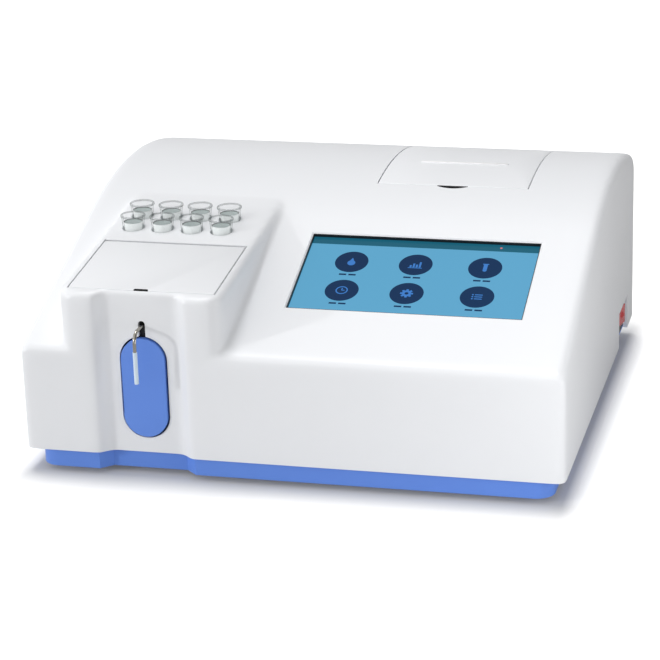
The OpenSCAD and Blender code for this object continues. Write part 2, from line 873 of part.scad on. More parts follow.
module cell_lid() {
    color(housing_white) difference() {
        union() {
            on_block(0, lid_front + lid_len / 2, -lid_t) box([lid_w, lid_len, lid_t]);
            for (m = [-1, 1]) on_block(m * ear_x, lid_rod_s, -hinge_in) hinge_ear(hinge_in - lid_t / 2);
        }
        on_block(-lid_w / 2, lid_rod_s, -hinge_in) rod_x(rod_r + run_gap, lid_w);
        on_block(0, lid_front + slot_in, -2 * lid_t) linear_extrude(3 * lid_t) rotate(90)
            capsule(slot_open_w, slot_w);
    }
}

module lid_rod() {
    color(steel) on_block(-tub_in_w / 2 - tub_wall, lid_rod_s, -hinge_in)
        rod_x(rod_r, tub_in_w + 2 * tub_wall);
}

module cell_tub() {
    out_w = tub_in_w + 2 * tub_wall;
    len = tub_d1 - tub_d0;
    color(dark_grey) difference() {
        union() {
            difference() {
                at(block_x, tub_d0 + len / 2, tub_z) box([out_w, len, tall - tub_z]);
                at(block_x, tub_d0 + len / 2, tub_floor) box([tub_in_w, len - 2 * tub_wall, tall]);
                on_block(0, len / 2, -wall) box([2 * out_w, 4 * len, tall]);
            }
            for (m = [-1, 1], d = [tub_d0 + tub_leg / 2, tub_d1 - tub_leg / 2])
                at(block_x + m * (out_w - tub_leg) / 2, d, floor_z)
                    box([tub_leg, tub_leg, tub_z - floor_z + fit_gap]);
            at(block_x, tub_d0 + tub_wall + clamp_len / 2 - fit_gap, tub_floor - fit_gap)
                box([clamp_w, clamp_len, probe_z - tub_floor + clamp_w / 2]);
            for (m = [-1, 1]) difference() {
                at(block_x + m * ear_x, tub_d0 + tub_wall + rest_len / 2 - fit_gap, tub_floor - fit_gap)
                    box([rest_w, rest_len, tall - tub_floor]);
                on_block(0, len / 2, -lid_t) box([2 * out_w, 4 * len, tall]);
            }
        }
        on_block(-out_w, lid_rod_s, -hinge_in) rod_x(rod_r + fit_gap, 2 * out_w);
        at(block_x, tub_d0 - over, probe_z) rod_y(probe_r + fit_gap, 2 * clamp_len);
        at(cell_x, tub_d1 - 2 * tub_wall, beam_z) rod_y(beam_r, 3 * tub_wall);
        at(pump_x, pump_d, tub_z - over) cylinder(r = shaft_r + 2 * run_gap, h = 2 * tub_wall);
        at(waste_x, waste_d, tub_z - over) cylinder(r = tube_r + fit_gap, h = 2 * tub_wall);
    }
}

// Bent tube: level run, quarter bend, upright run down to z
module probe_run(r, z) {
    front = -probe_reach;
    at(block_x, front + probe_bend, probe_z) rod_y(r, probe_in - front - probe_bend);
    at(block_x, front + probe_bend, probe_z - probe_bend) rotate([0, -90, 0]) rotate([0, 0, -90])
        rotate_extrude(angle = 90) translate([probe_bend, 0]) circle(r);
    at(block_x, front, z) cylinder(r = r, h = probe_z - probe_bend - z);
}

module probe_tube() {
    color(steel) difference() {
        probe_run(probe_r, tip_z + over);
        at(block_x, -probe_reach, tip_z) cylinder(r = probe_bore_r, h = probe_z - probe_bend - tip_z);
        at(block_x, 0, probe_z) rod_y(probe_bore_r, probe_in + over);
    }
}

module probe_tip() {
    color([0.85, 0.92, 0.97]) at(block_x, -probe_reach, tip_z) difference() {
        cylinder(r = probe_r + tip_wall, h = tip_len);
        translate([0, 0, over]) cylinder(r = probe_r, h = tip_len);
        translate([0, 0, -over]) cylinder(r = probe_bore_r, h = 3 * over);
    }
}

module joint_ball(p, r) {
    at(p[0], p[1], p[2]) sphere(r);
}

module sample_tube() {
    bend_d = cell_d - port_dd;
    color(clear_glass) {
        at(block_x, probe_in, probe_z) rod_y(tube_r, bend_d - probe_in);
        joint_ball([block_x, bend_d, probe_z], tube_r);
        at(cell_x + cell_block[0] / 2, bend_d, probe_z) rod_x(tube_r, block_x - cell_x - cell_block[0] / 2);
    }
}

module pump_tube() {
    x0 = cell_x + cell_block[0] / 2;
    x1 = block_x - tube_r;
    x2 = pump_x - tube_loop_r;
    d0 = cell_d + port_dd;
    color(clear_glass) {
        at(x0, d0, tube_z) rod_x(tube_r, x1 - x0);
        joint_ball([x1, d0, tube_z], tube_r);
        at(x1, d0, tube_z) rod_y(tube_r, waste_d - d0);
        joint_ball([x1, waste_d, tube_z], tube_r);
        at(x1, waste_d, tube_z) rod_x(tube_r, x2 - x1);
        joint_ball([x2, waste_d, tube_z], tube_r);
        for (x = [x2, waste_x]) at(x, pump_d, tube_z) rod_y(tube_r, waste_d - pump_d);
        at(pump_x, pump_d, tube_z) rotate([0, 0, 180]) rotate_extrude(angle = 180)
            translate([tube_loop_r, 0]) circle(tube_r);
        joint_ball([waste_x, waste_d, tube_z], tube_r);
        at(waste_x, waste_d, waste_z) cylinder(r = tube_r, h = tube_z - waste_z);
        joint_ball([waste_x, waste_d, waste_z], tube_r);
        at(waste_x, waste_d, waste_z) rod_y(tube_r, panel_d - waste_in - waste_d);
    }
}

module waste_fitting() {
    color(dark_grey) at(waste_x, panel_d, waste_z) difference() {
        union() {
            translate([0, -waste_in, 0]) rod_y(waste_barb_r, waste_in + panel_t2 + wall + rear_reach);
            translate([0, -waste_collar, 0]) rod_y(waste_collar_r, waste_collar);
            rod_y(waste_body_r, panel_t2);
            translate([0, panel_t2, 0]) rod_y(waste_collar_r, waste_collar);
        }
        translate([0, panel_t2 + waste_collar, 0]) rod_y(waste_bore_r, rear_reach + 2 * wall);
    }
}

module flow_cell_block() {
    color(steel) difference() {
        at(cell_x, cell_d, tub_floor) box(cell_block);
        at(cell_x, cell_d, tub_floor + cell_floor)
            box([cell_size + 2 * well_gap, cell_size + 2 * well_gap, tall]);
        at(cell_x, cell_d - cell_block[1], beam_z) rod_y(beam_r, 2 * cell_block[1]);
    }
}

module flow_cell() {
    color(clear_glass) at(cell_x, cell_d, tub_floor) {
        translate([0, 0, cell_floor]) box([cell_size, cell_size, cell_block[2] - cell_floor]);
        translate([0, 0, cell_block[2]]) box([cell_cap, cell_cap, cap_t]);
    }
}

module detector_board() {
    front = cell_d - cell_block[1] / 2;
    color(board_green) {
        at(cell_x, front - sensor_l - board_t / 2, beam_z) rod_y(sensor_r, sensor_l + board_t / 2);
        at(cell_x, front - sensor_l - board_t / 2, tub_floor) box([detector_w, board_t, cell_block[2]]);
    }
}

module pump_body() {
    out_r = track_r + pump_wall;
    color(dark_grey) at(pump_x, pump_d, tub_floor) difference() {
        union() {
            cylinder(r = out_r, h = pump_base);
            difference() {
                cylinder(r = out_r, h = pump_base + track_h);
                translate([0, 0, pump_base]) cylinder(r = track_r, h = tall);
                translate([0, out_r, pump_base]) box([2 * out_r, 2 * out_r, tall]);
            }
        }
        translate([0, 0, -over]) cylinder(r = shaft_r + run_gap, h = tall);
    }
}

module pump_rotor() {
    upper = rotor_z + disc_t + roller_h + 2 * run_gap;
    color(housing_white) at(pump_x, pump_d, 0) {
        for (z = [rotor_z, upper]) translate([0, 0, z]) cylinder(r = rotor_disc_r, h = disc_t);
        translate([0, 0, rotor_z]) cylinder(r = shaft_r, h = upper - rotor_z);
        translate([0, 0, tub_z - shaft_in]) cylinder(r = shaft_r, h = rotor_z - tub_z + shaft_in);
        for (i = [0:2]) rotate(i * 120) translate([roller_circle_r, 0, rotor_z])
            cylinder(r = roller_pin_r, h = upper - rotor_z);
    }
}

module roller(i) {
    color(steel) at(pump_x, pump_d, rotor_z + disc_t + run_gap) rotate(i * 120)
        translate([roller_circle_r, 0, 0])
        difference() {
            cylinder(r = roller_r, h = roller_h);
            translate([0, 0, -over]) cylinder(r = roller_pin_r + run_gap, h = tall);
        }
}

module pump_motor() {
    color(dark_grey) at(pump_x, pump_d, tub_z - pump_motor_h) difference() {
        cylinder(r = pump_motor_r, h = pump_motor_h);
        translate([0, 0, pump_motor_h - shaft_in - over]) cylinder(r = shaft_r + run_gap, h = tall);
    }
}

module aspirate_key() {
    back = recess_d + wall;
    color(tray_blue) difference() {
        union() {
            translate([block_x, 0, key_z]) along_d(recess_d - key_proud, wall + key_proud)
                capsule(key_w, key_h);
            intersection() {
                translate([block_x, 0, key_z]) along_d(back, key_flange_t)
                    capsule(key_w + 2 * key_gap + 2 * key_flange, key_h + 2 * key_gap + 2 * key_flange);
                at(block_x, back, 0) box([2 * key_w, 2 * key_w, key_pivot_z - 2 * ear_r]);
            }
            intersection() {
                translate([block_x, 0, key_z]) along_d(back - over, key_flange_t + over)
                    capsule(key_w, key_h);
                at(block_x, back, 0) box([2 * key_w, 2 * key_w, tub_z - key_gap]);
            }
            for (m = [-1, 1])
                at(block_x + m * key_ear_x, (back + key_pivot_d + ear_r) / 2, key_pivot_z - ear_r)
                box([key_ear_w, key_pivot_d + ear_r - back, 2 * ear_r]);
            at(block_x, back, key_boss_z) rod_y(key_boss_r, key_boss_d - back);
        }
        at(block_x - key_w / 2, key_pivot_d, key_pivot_z) rod_x(rod_r + run_gap, key_w);
    }
}

module key_pin() {
    half = wall_ear_x + wall_ear_w / 2;
    color(steel) at(block_x - half, key_pivot_d, key_pivot_z) rod_x(rod_r, 2 * half);
}

module start_switch() {
    color(dark_grey) {
        at(block_x, start_d + switch_size[1] / 2, key_boss_z - switch_size[2] / 2) box(switch_size);
        at(block_x, start_d - switch_button_l, key_boss_z) rod_y(switch_button_r, switch_button_l);
    }
}

// Plate of the block's top that the cups stand through
module cup_rack() {
    color(housing_white) difference() {
        on_block(-cup_off, rack_s, -wall) box([rack_w, rack_len, wall]);
        for (i = [0:7]) at(cup_x(i), cup_d(i), incubator_top) cylinder(r = cup_r + 2 * well_gap, h = tall);
    }
}

module incubator_block() {
    color(steel) difference() {
        at(block_x - cup_off, incubator_d0 + incubator_d / 2, incubator_z)
            box([incubator_w, incubator_d, incubator_top - incubator_z]);
        for (i = [0:7]) at(cup_x(i), cup_d(i), cup_z(i)) cylinder(r = cup_r + well_gap, h = tall);
    }
}

module cup(i) {
    flare_z = cup_h - cup_flare;
    in_r = cup_r - cup_wall;
    spread = 2 * (cup_top_r - cup_r);
    color(clear_glass) at(cup_x(i), cup_d(i), cup_z(i)) difference() {
        union() {
            cylinder(r = cup_r, h = flare_z);
            translate([0, 0, flare_z]) cylinder(r1 = cup_r, r2 = cup_top_r, h = cup_flare);
            translate([0, 0, cup_h - cup_rim]) cylinder(r = cup_top_r + well_gap, h = cup_rim);
        }
        translate([0, 0, cup_floor]) cylinder(r = cup_r - cup_wall, h = cup_h);
        translate([0, 0, flare_z]) cylinder(r1 = in_r, r2 = in_r + spread, h = 2 * cup_flare);
    }
}

module optical_bench() {
    legs = [bench_leg_r + leg_in, bench_w - bench_leg_r - leg_in];
    color(steel) difference() {
        union() {
            at(bench_x0, bench_d0, bench_z - bench_t) cube([bench_w, bench_len, bench_t]);
            for (x = legs, d = [0, 0.5, 1])
                at(bench_x0 + x, bench_d0 + bench_leg_r + d * (bench_len - 2 * bench_leg_r), floor_z)
                cylinder(r = bench_leg_r, h = bench_z - floor_z - bench_t / 2);
            for (x = pillar_xs, d = [pillar_in, incubator_d - pillar_in])
                at(block_x + x, incubator_d0 + d, bench_z - over)
                cylinder(r = pillar_r, h = incubator_z - bench_z + over);
            at(cell_x, bracket_d + bracket_t / 2, bench_z - over)
                box([motor_w + 2 * bracket_side, bracket_t, wheel_z + motor_w / 2 - bench_z + over]);
            at(cell_x, lens_d + lens_t / 2, bench_z - over)
                box([2 * (lens_r + lens_side), lens_t, beam_z + 2 * lens_r - bench_z + over]);
        }
        at(cell_x, bracket_d - over, wheel_z) rod_y(2 * shaft_r, bracket_t + 2 * over);
        at(cell_x, lens_d - over, beam_z) rod_y(lens_r + fit_gap, lens_t + 2 * over);
    }
}

module filter_wheel() {
    color(dark_grey) at(cell_x, wheel_d, wheel_z) difference() {
        union() {
            rod_y(wheel_r, wheel_t);
            rod_y(hub_wheel_r, wheel_t + hub_wheel_l);
            rod_y(shaft_r, bracket_d - wheel_d + bracket_t + shaft_in);
        }
        for (i = [0:filter_count - 1]) rotate([0, i * 360 / filter_count, 0])
            translate([0, -over, filter_circle_r])
            rod_y(filter_r + fit_gap, wheel_t + 2 * over);
    }
}

module filters() {
    color([0.8, 0.4, 0.6]) at(cell_x, wheel_d, wheel_z) for (i = [0:filter_count - 1])
        rotate([0, i * 360 / filter_count, 0]) translate([0, 0, filter_circle_r]) rod_y(filter_r, wheel_t);
}

module wheel_motor() {
    color(dark_grey) difference() {
        at(cell_x, bracket_d + bracket_t + motor_len / 2, wheel_z - motor_w / 2)
            box([motor_w, motor_len, motor_w]);
        at(cell_x, bracket_d, wheel_z) rod_y(shaft_r + run_gap, bracket_t + shaft_in + over);
    }
}

module lens() {
    mid = lens_d + lens_t / 2;
    color(clear_glass) intersection() {
        at(cell_x, lens_d - lens_t, beam_z) rod_y(lens_r, 3 * lens_t);
        at(cell_x, mid - lens_off, beam_z) sphere(2 * lens_r);
        at(cell_x, mid + lens_off, beam_z) sphere(2 * lens_r);
    }
}

module lamp_house() {
    color(steel) at(cell_x, lamp_d + lamp_w / 2, bench_z) difference() {
        box([lamp_w, lamp_w, lamp_h]);
        translate([0, 0, tub_wall])
            box([lamp_w - 2 * tub_wall, lamp_w - 2 * tub_wall, lamp_h - 2 * tub_wall]);
        translate([0, -lamp_w, beam_z - bench_z]) rod_y(lens_r, lamp_w);
        for (k = [-2:2]) translate([k * vent_pitch, 0, lamp_h / 2])
            box([vent_w, vent_share * lamp_w, lamp_h]);
    }
}

module lamp() {
    bulb_z = beam_z - bench_z - bulb_l / 2;
    color(clear_glass) at(cell_x, lamp_d + lamp_w / 2, bench_z) {
        translate([0, 0, tub_wall]) box([lamp_base, lamp_base, bulb_z - tub_wall]);
        translate([0, 0, bulb_z]) cylinder(r = bulb_r, h = bulb_l);
        translate([0, 0, bulb_z + bulb_l]) sphere(bulb_r);
    }
}

module display_glass() {
    color(dark_grey) on_slope(window_x, window_s, -wall - glass_t) box([glass_w, glass_h, glass_t]);
}

module display_panel() {
    color([0.37, 0.66, 0.8]) on_slope(window_x, window_s, -wall - glass_t - panel_t)
        box([glass_w - 2, glass_h - 2, panel_t]);
}

module display_bracket() {
    color(steel) on_slope(window_x, window_s, -wall - glass_t - panel_t - bracket_sheet) difference() {
        box([2 * display_screw_dx + 4 * display_boss_r, glass_h, bracket_sheet]);
        translate([0, 0, -over]) box([window_w - 2 * bezel, window_h - 2 * bezel, bracket_sheet + 2 * over]);
        for (m = [-1, 1], k = [-1, 1]) translate([m * display_screw_dx, k * display_screw_ds, -over])
            cylinder(r = display_screw_r + fit_gap, h = bracket_sheet + 2 * over);
    }
}

module display_screws() {
    color(steel) display_screw_places() {
        translate([0, 0, -bracket_sheet - display_head_h]) cylinder(r = display_head_r, h = display_head_h);
        translate([0, 0, -bracket_sheet - display_head_h / 2])
            cylinder(r = display_screw_r, h = bracket_sheet + display_head_h / 2 + panel_t - over);
    }
}

module printer_tub() {
    len = printer_d1 - printer_d0;
    mid = tub_x0 + printer_tub_w / 2;
    color(dark_grey) difference() {
        union() {
            intersection() {
                difference() {
                    at(mid, printer_d0 + len / 2, printer_z) box([printer_tub_w, len, tall]);
                    at(mid, printer_d0 + len / 2, printer_floor)
                        box([printer_tub_w - 2 * tub_wall, len - 2 * tub_wall, tall]);
                }
                at(tub_x0 - over, crown_d, crown_z)
                    rod_x(crown_r - wall - well_gap, printer_tub_w + 2 * over, $fn = 360);
            }
            for (m = [-1, 1], d = [printer_d0 + tub_leg / 2, printer_d1 - 2 * tub_leg])
                at(mid + m * (printer_tub_w - tub_leg) / 2, d, floor_z)
                box([tub_leg, tub_leg, printer_z - floor_z + fit_gap]);
        }
        on_crown(tub_x0 - over, cover_rod_a, -hinge_in) rod_x(rod_r + fit_gap, printer_tub_w + 2 * over);
    }
}

module printer_cover() {
    slot_a = asin((slot_d - crown_d) / crown_r);
    color(housing_white) difference() {
        union() {
            crown_sector(cover_a0, cover_a1) translate([crown_r - lid_t, -cover_x - cover_w / 2])
                square([lid_t, cover_w]);
            on_crown(cover_x, slot_a, -lid_t / 2) translate([0, -slot_open, 0])
                box([paper_w + 2 * bar_side, slot_open, lid_t / 2 + lip_h]);
            for (m = [-1, 1]) on_crown(cover_x + m * ear_x, cover_rod_a, -hinge_in)
                hinge_ear(hinge_in - lid_t / 2);
        }
        on_crown(cover_x, slot_a, -2 * lid_t) box([paper_w + 2 * slot_side, slot_open, 4 * lid_t]);
        on_crown(cover_x - cover_w / 2, cover_rod_a, -hinge_in) rod_x(rod_r + run_gap, cover_w);
    }
}

module cover_rod() {
    color(steel) on_crown(tub_x0, cover_rod_a, -hinge_in) rod_x(rod_r, printer_tub_w);
}

module printer_mech() {
    color(dark_grey) difference() {
        union() {
            at(cover_x, mech_d + mech_len / 2, printer_floor) box([mech_w, mech_len, cheek_t * 2]);
            for (m = [-1, 1]) at(cover_x + m * (mech_w - cheek_t) / 2, mech_d + mech_len / 2, printer_floor)
                box([cheek_t, mech_len, cheek_h]);
            at(cover_x, platen_d - platen_r - head_gap - head_t / 2, printer_floor + cheek_t)
                box([mech_w, head_t, cheek_h - cheek_t]);
            at(cover_x + mech_w / 2, platen_d, platen_z) rod_x(platen_motor_r, platen_motor_l);
        }
        at(cover_x - mech_w, platen_d, platen_z)
            rod_x(platen_shaft_r + run_gap, 1.5 * mech_w + platen_motor_l / 2);
    }
}

module platen_roller() {
    color(dark_grey) at(cover_x, platen_d, platen_z) {
        translate([-paper_w / 2, 0, 0]) rod_x(platen_r, paper_w);
        translate([-mech_w / 2, 0, 0]) rod_x(platen_shaft_r, mech_w + platen_motor_l / 2 - over);
    }
}

module paper_roll() {
    color([0.96, 0.96, 0.93]) at(cover_x - paper_w / 2, roll_d, roll_z) difference() {
        rod_x(roll_r, paper_w);
        translate([-over, 0, 0]) rod_x(core_r, paper_w + 2 * over);
    }
}

module board_places() {
    for (x = [board_in, board_w - board_in], d = [board_in, board_d - board_in])
        at(board_x0 + x, board_d0 + d, 0)
        children();
}

module main_board() {
    color(board_green) {
        at(board_x0, board_d0, board_z) cube([board_w, board_d, board_t]);
        for (k = [0:2]) at(board_x0 + board_w / 4 * (k + 1), board_d0 + board_d / 2, board_z)
            box([chip_w, chip_w, board_t + chip_h]);
        for (k = [0:3]) at(board_x0 + board_w / 5 * (k + 1), board_d0 + board_d * (1 - header_at), board_z)
            cylinder(r = cap_r, h = board_t + cap_h);
        at(board_x0 + board_w / 2, board_d0 + board_d * header_at, board_z)
            box([header_l, chip_h * 3, board_t + cap_h]);
    }
}

module power_supply() {
    color(steel) at(cover_x, psu_d0 + psu_d / 2, floor_z) difference() {
        box([psu_w, psu_d, psu_h]);
        for (k = [-4:4]) translate([0, k * vent_pitch, psu_h - tub_wall])
            box([vent_share * psu_w, vent_w, psu_h]);
    }
}

module fan_frame() {
    color(dark_grey) at(fan_x, panel_d - fan_t, fan_z) difference() {
        union() {
            difference() {
                translate([0, fan_t / 2, -fan_w / 2]) box([fan_w, fan_t, fan_w]);
                translate([0, -over, 0]) rod_y(fan_bore_r, fan_t + 2 * over);
            }
            rod_y(hub_r, strut_t);
            for (a = [45, 135]) rotate([0, a, 0]) translate([0, strut_t / 2, 0])
                translate([0, 0, -fan_bore_r - over])
                box([strut_w, strut_t, 2 * fan_bore_r + 2 * over]);
        }
        translate([0, -over, 0]) rod_y(fan_pin_r + run_gap, 3 * strut_t);
    }
}

module fan_rotor() {
    depth = fan_t - strut_t - 3 * run_gap;
    color(dark_grey) at(fan_x, panel_d - fan_t + strut_t + run_gap, fan_z) {
        rod_y(hub_r, depth);
        translate([0, -strut_t - run_gap, 0]) rod_y(fan_pin_r, strut_t + 2 * run_gap);
        for (i = [0:blade_count - 1]) rotate([0, i * 360 / blade_count, 0])
            translate([0, depth / 2, hub_r - over]) rotate([0, 0, blade_pitch])
            box([blade_t, blade_share * depth, fan_bore_r - hub_r - over]);
    }
}

module mains_inlet() {
    color(dark_grey) at(inlet_x, panel_d + panel_t2, inlet_z) {
        difference() {
            union() {
                translate([0, -inlet_size[1] / 2, -inlet_size[2] / 2]) box(inlet_size);
                translate([0, inlet_flange[1] / 2, -inlet_flange[2] / 2]) box(inlet_flange);
            }
            translate([0, inlet_flange[1] - inlet_well / 2, -inlet_size[2] / 2 + tub_wall])
                box([inlet_size[0] - 2 * tub_wall, inlet_well + over, inlet_size[2] - 2 * tub_wall]);
        }
        for (k = [-1, 0, 1])
            translate([k * inlet_pin_x, inlet_flange[1] - inlet_well - over, -inlet_pin[2] / 2])
            translate([0, inlet_pin[1] / 2, 0]) box(inlet_pin);
    }
}

module data_ports() {
    color(steel) for (k = [0, 1]) at(port_x + k * port_pitch, panel_d + panel_t2, port_z) difference() {
        union() {
            translate([0, port_out - port_sizes[k][1] / 2, -port_sizes[k][2] / 2]) box(port_sizes[k]);
            translate([0, cap_t / 6, -port_sizes[k][2] / 2 - tub_wall])
                box([port_sizes[k][0] + 4 * tub_wall, cap_t / 3, port_sizes[k][2] + 2 * tub_wall]);
        }
        translate([0, port_out, -port_sizes[k][2] / 2 + over])
            box([port_sizes[k][0] - 2 * over, port_out, port_sizes[k][2] - 2 * over]);
    }
}

module power_switch() {
    body_x = switch_out - frame_t - frame_depth;
    color(dark_grey) difference() {
        union() {
            at(body_x, switch_d - frame_l / 2, switch_z - frame_h / 2)
                cube([frame_depth + frame_t, frame_l, frame_h]);
            at(switch_out - frame_t / 2, switch_d, switch_z - frame_h / 2 - frame_flange)
                box([frame_t, frame_l + 2 * frame_flange, frame_h + 2 * frame_flange]);
            for (k = [-1, 0, 1]) at(body_x - blade[0], switch_d + k * rocker_l / 3, switch_z - blade[1] / 2)
                cube([blade[0] + over, blade[2], blade[1]]);
        }
        at(body_x + frame_wall, switch_d - cavity_l / 2, switch_z - cavity_h / 2)
            cube([frame_depth + frame_t, cavity_l, cavity_h]);
        at(rocker_axis_x, switch_d, switch_z - frame_h) cylinder(r = rocker_pin_r + run_gap, h = 2 * frame_h);
    }
}

module power_rocker() {
    half = rocker_l / 2;
    color([0.8, 0.12, 0.12]) at(rocker_axis_x, switch_d, switch_z) rotate([0, 0, -rocker_tilt]) {
        translate([0, 0, -rocker_h / 2]) linear_extrude(rocker_h)
            polygon([[rocker_out + rocker_rise, -half], [rocker_out, 0], [rocker_out + rocker_rise, half],
                [rocker_pin_r, half], [-2 * rocker_pin_r, half / 2], [-2 * rocker_pin_r, -half / 2],
                [rocker_pin_r, -half]]);
        translate([0, 0, -cavity_h / 2 - frame_wall])
            cylinder(r = rocker_pin_r, h = cavity_h + 2 * frame_wall);
    }
}

base_tray();
rubber_feet();
case_screws();
upper_housing();
cup_rack();
rear_panel();
cell_lid();
lid_rod();
cell_tub();
probe_tube();
probe_tip();
sample_tube();
flow_cell_block();
flow_cell();
detector_board();
pump_body();
pump_rotor();
roller(0);  // roller_1
roller(1);  // roller_2
roller(2);  // roller_3
pump_motor();
pump_tube();
waste_fitting();
aspirate_key();
key_pin();
start_switch();
incubator_block();
cup(0);  // cup_1
cup(1);  // cup_2
cup(2);  // cup_3
cup(3);  // cup_4
cup(4);  // cup_5
cup(5);  // cup_6
cup(6);  // cup_7
cup(7);  // cup_8
optical_bench();
filter_wheel();
filters();
wheel_motor();
lens();
lamp_house();
lamp();
display_glass();
display_panel();
display_bracket();
display_screws();
printer_tub();
printer_cover();
cover_rod();
printer_mech();
platen_roller();
paper_roll();
main_board();
power_supply();
fan_frame();
fan_rotor();
mains_inlet();
data_ports();
power_switch();
power_rocker();
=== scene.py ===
import math

import bpy
from mathutils import Matrix, Vector


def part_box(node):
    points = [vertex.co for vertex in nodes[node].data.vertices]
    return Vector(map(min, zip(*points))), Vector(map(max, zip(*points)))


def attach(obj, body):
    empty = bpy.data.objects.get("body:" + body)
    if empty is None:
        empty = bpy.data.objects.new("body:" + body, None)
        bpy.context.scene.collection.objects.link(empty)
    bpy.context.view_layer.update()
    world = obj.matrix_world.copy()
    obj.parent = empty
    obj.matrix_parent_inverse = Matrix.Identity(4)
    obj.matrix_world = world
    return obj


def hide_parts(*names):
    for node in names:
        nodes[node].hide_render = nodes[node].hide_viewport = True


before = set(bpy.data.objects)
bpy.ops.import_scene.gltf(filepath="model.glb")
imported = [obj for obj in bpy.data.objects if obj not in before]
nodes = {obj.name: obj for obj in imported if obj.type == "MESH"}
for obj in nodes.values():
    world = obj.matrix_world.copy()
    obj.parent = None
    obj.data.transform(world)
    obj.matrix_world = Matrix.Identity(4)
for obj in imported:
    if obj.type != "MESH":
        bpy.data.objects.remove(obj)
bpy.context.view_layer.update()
print("frame loaded with", len(nodes), "nodes")

# camera at the place the photograph was taken from
cameraSetup = {"place": (0.3779, -1.4936, 0.5878), "yaw": 14.67, "pitch": 19.26, "roll": 1.82,
               "lens": 129.76, "sensor": 36, "far": 60}


def placeCamera(setup):
    yaw, pitch, roll = (math.radians(setup[k]) for k in ("yaw", "pitch", "roll"))
    forward = Vector((-math.sin(yaw) * math.cos(pitch), math.cos(yaw) * math.cos(pitch), -math.sin(pitch)))
    right = Vector((math.cos(yaw), math.sin(yaw), 0))
    down = forward.cross(right)
    across = math.cos(roll) * right + math.sin(roll) * down
    under = -math.sin(roll) * right + math.cos(roll) * down
    bpy.ops.object.camera_add()
    cam = bpy.context.object
    cam.name = "photoCamera"
    cam.data.lens = setup["lens"]
    cam.data.sensor_width = setup["sensor"]
    cam.data.clip_end = setup["far"]
    turn = Matrix((across, -under, -forward)).transposed().to_4x4()
    cam.matrix_world = Matrix.Translation(setup["place"]) @ turn
    bpy.context.scene.camera = cam


placeCamera(cameraSetup)
bpy.context.scene.view_settings.view_transform = "Standard"
print("camera placed")

# soft studio light: a wide lamp from the left front, a top lamp a little behind, a small one for the
# thin shadows and a low panel that lifts the right side
lightSetup = {
    "small": {"from": (-0.80, -0.52, 0.25), "strength": 0.68, "soft": 2},
    "left": {"from": (-0.60, -0.80, 0.40), "strength": 0.64, "soft": 100},
    "top": {"from": (-0.14, 0.20, 1.0), "strength": 1.13, "soft": 20},
    "fill": {"from": (0.50, -0.32, 0.11), "to": (0.12, -0.06, 0.06), "power": 0.74, "size": 0.2},
    "sky": 0.47, "skyLean": (-0.85, -0.2, 0),
}


def addSun(name, lamp):
    bpy.ops.object.light_add(type="SUN")
    sun = bpy.context.object
    sun.name = name
    sun.data.energy = lamp["strength"]
    sun.data.angle = math.radians(lamp["soft"])
    sun.matrix_world = Vector(lamp["from"]).to_track_quat("Z", "Y").to_matrix().to_4x4()


def addPanel(name, lamp):
    bpy.ops.object.light_add(type="AREA")
    panel = bpy.context.object
    panel.name = name
    panel.data.energy = lamp["power"]
    panel.data.size = lamp["size"]
    start = Vector(lamp["from"])
    aim = (start - Vector(lamp["to"])).to_track_quat("Z", "Y").to_matrix().to_4x4()
    panel.matrix_world = Matrix.Translation(start) @ aim


def lightRoom(setup):
    for name in ("small", "left", "top"):
        addSun(name + "Lamp", setup[name])
    addPanel("fillLamp", setup["fill"])
    world = bpy.data.worlds.new("studio")
    bpy.context.scene.world = world
    world.use_nodes = True
    tree = world.node_tree
    back = tree.nodes["Background"]
    back.inputs["Color"].default_value = (1, 1, 1, 1)
    seen = seenRays(tree)
    # brighter room to the left and front, darker to the right
    aim = tree.nodes.new("ShaderNodeTexCoord")
    lean = tree.nodes.new("ShaderNodeVectorMath")
    lean.operation = "DOT_PRODUCT"
    lean.inputs[1].default_value = setup["skyLean"]
    tree.links.new(aim.outputs["Generated"], lean.inputs[0])
    room = tree.nodes.new("ShaderNodeMath")
    room.operation = "MULTIPLY_ADD"
    room.inputs[1].default_value = setup["sky"]
    room.inputs[2].default_value = setup["sky"]
    tree.links.new(lean.outputs["Value"], room.inputs[0])
    level = tree.nodes.new("ShaderNodeMapRange")
    level.inputs["To Max"].default_value = 1
    tree.links.new(room.outputs[0], level.inputs["To Min"])
    tree.links.new(seen, level.inputs["Value"])
    tree.links.new(level.outputs["Result"], back.inputs["Strength"])


def seenRays(tree):
    # one for rays of the camera, straight or through clear plastic, else nought
    rays = tree.nodes.new("ShaderNodeLightPath")
    either = tree.nodes.new("ShaderNodeMath")
    either.operation = "MAXIMUM"
    tree.links.new(rays.outputs["Is Camera Ray"], either.inputs[0])
    tree.links.new(rays.outputs["Is Transmission Ray"], either.inputs[1])
    return either.outputs[0]


lightRoom(lightSetup)
print("lights set")

# floor glow: low near the object as painted shade around its foot, full further off
floorSetup = {"size": 14, "colour": (0.6, 0.6, 0.6), "lift": 0.09, "farLift": 0.85,
              "half": (0.172, 0.160), "fade": (0.017, 0.05), "rough": 0.95}


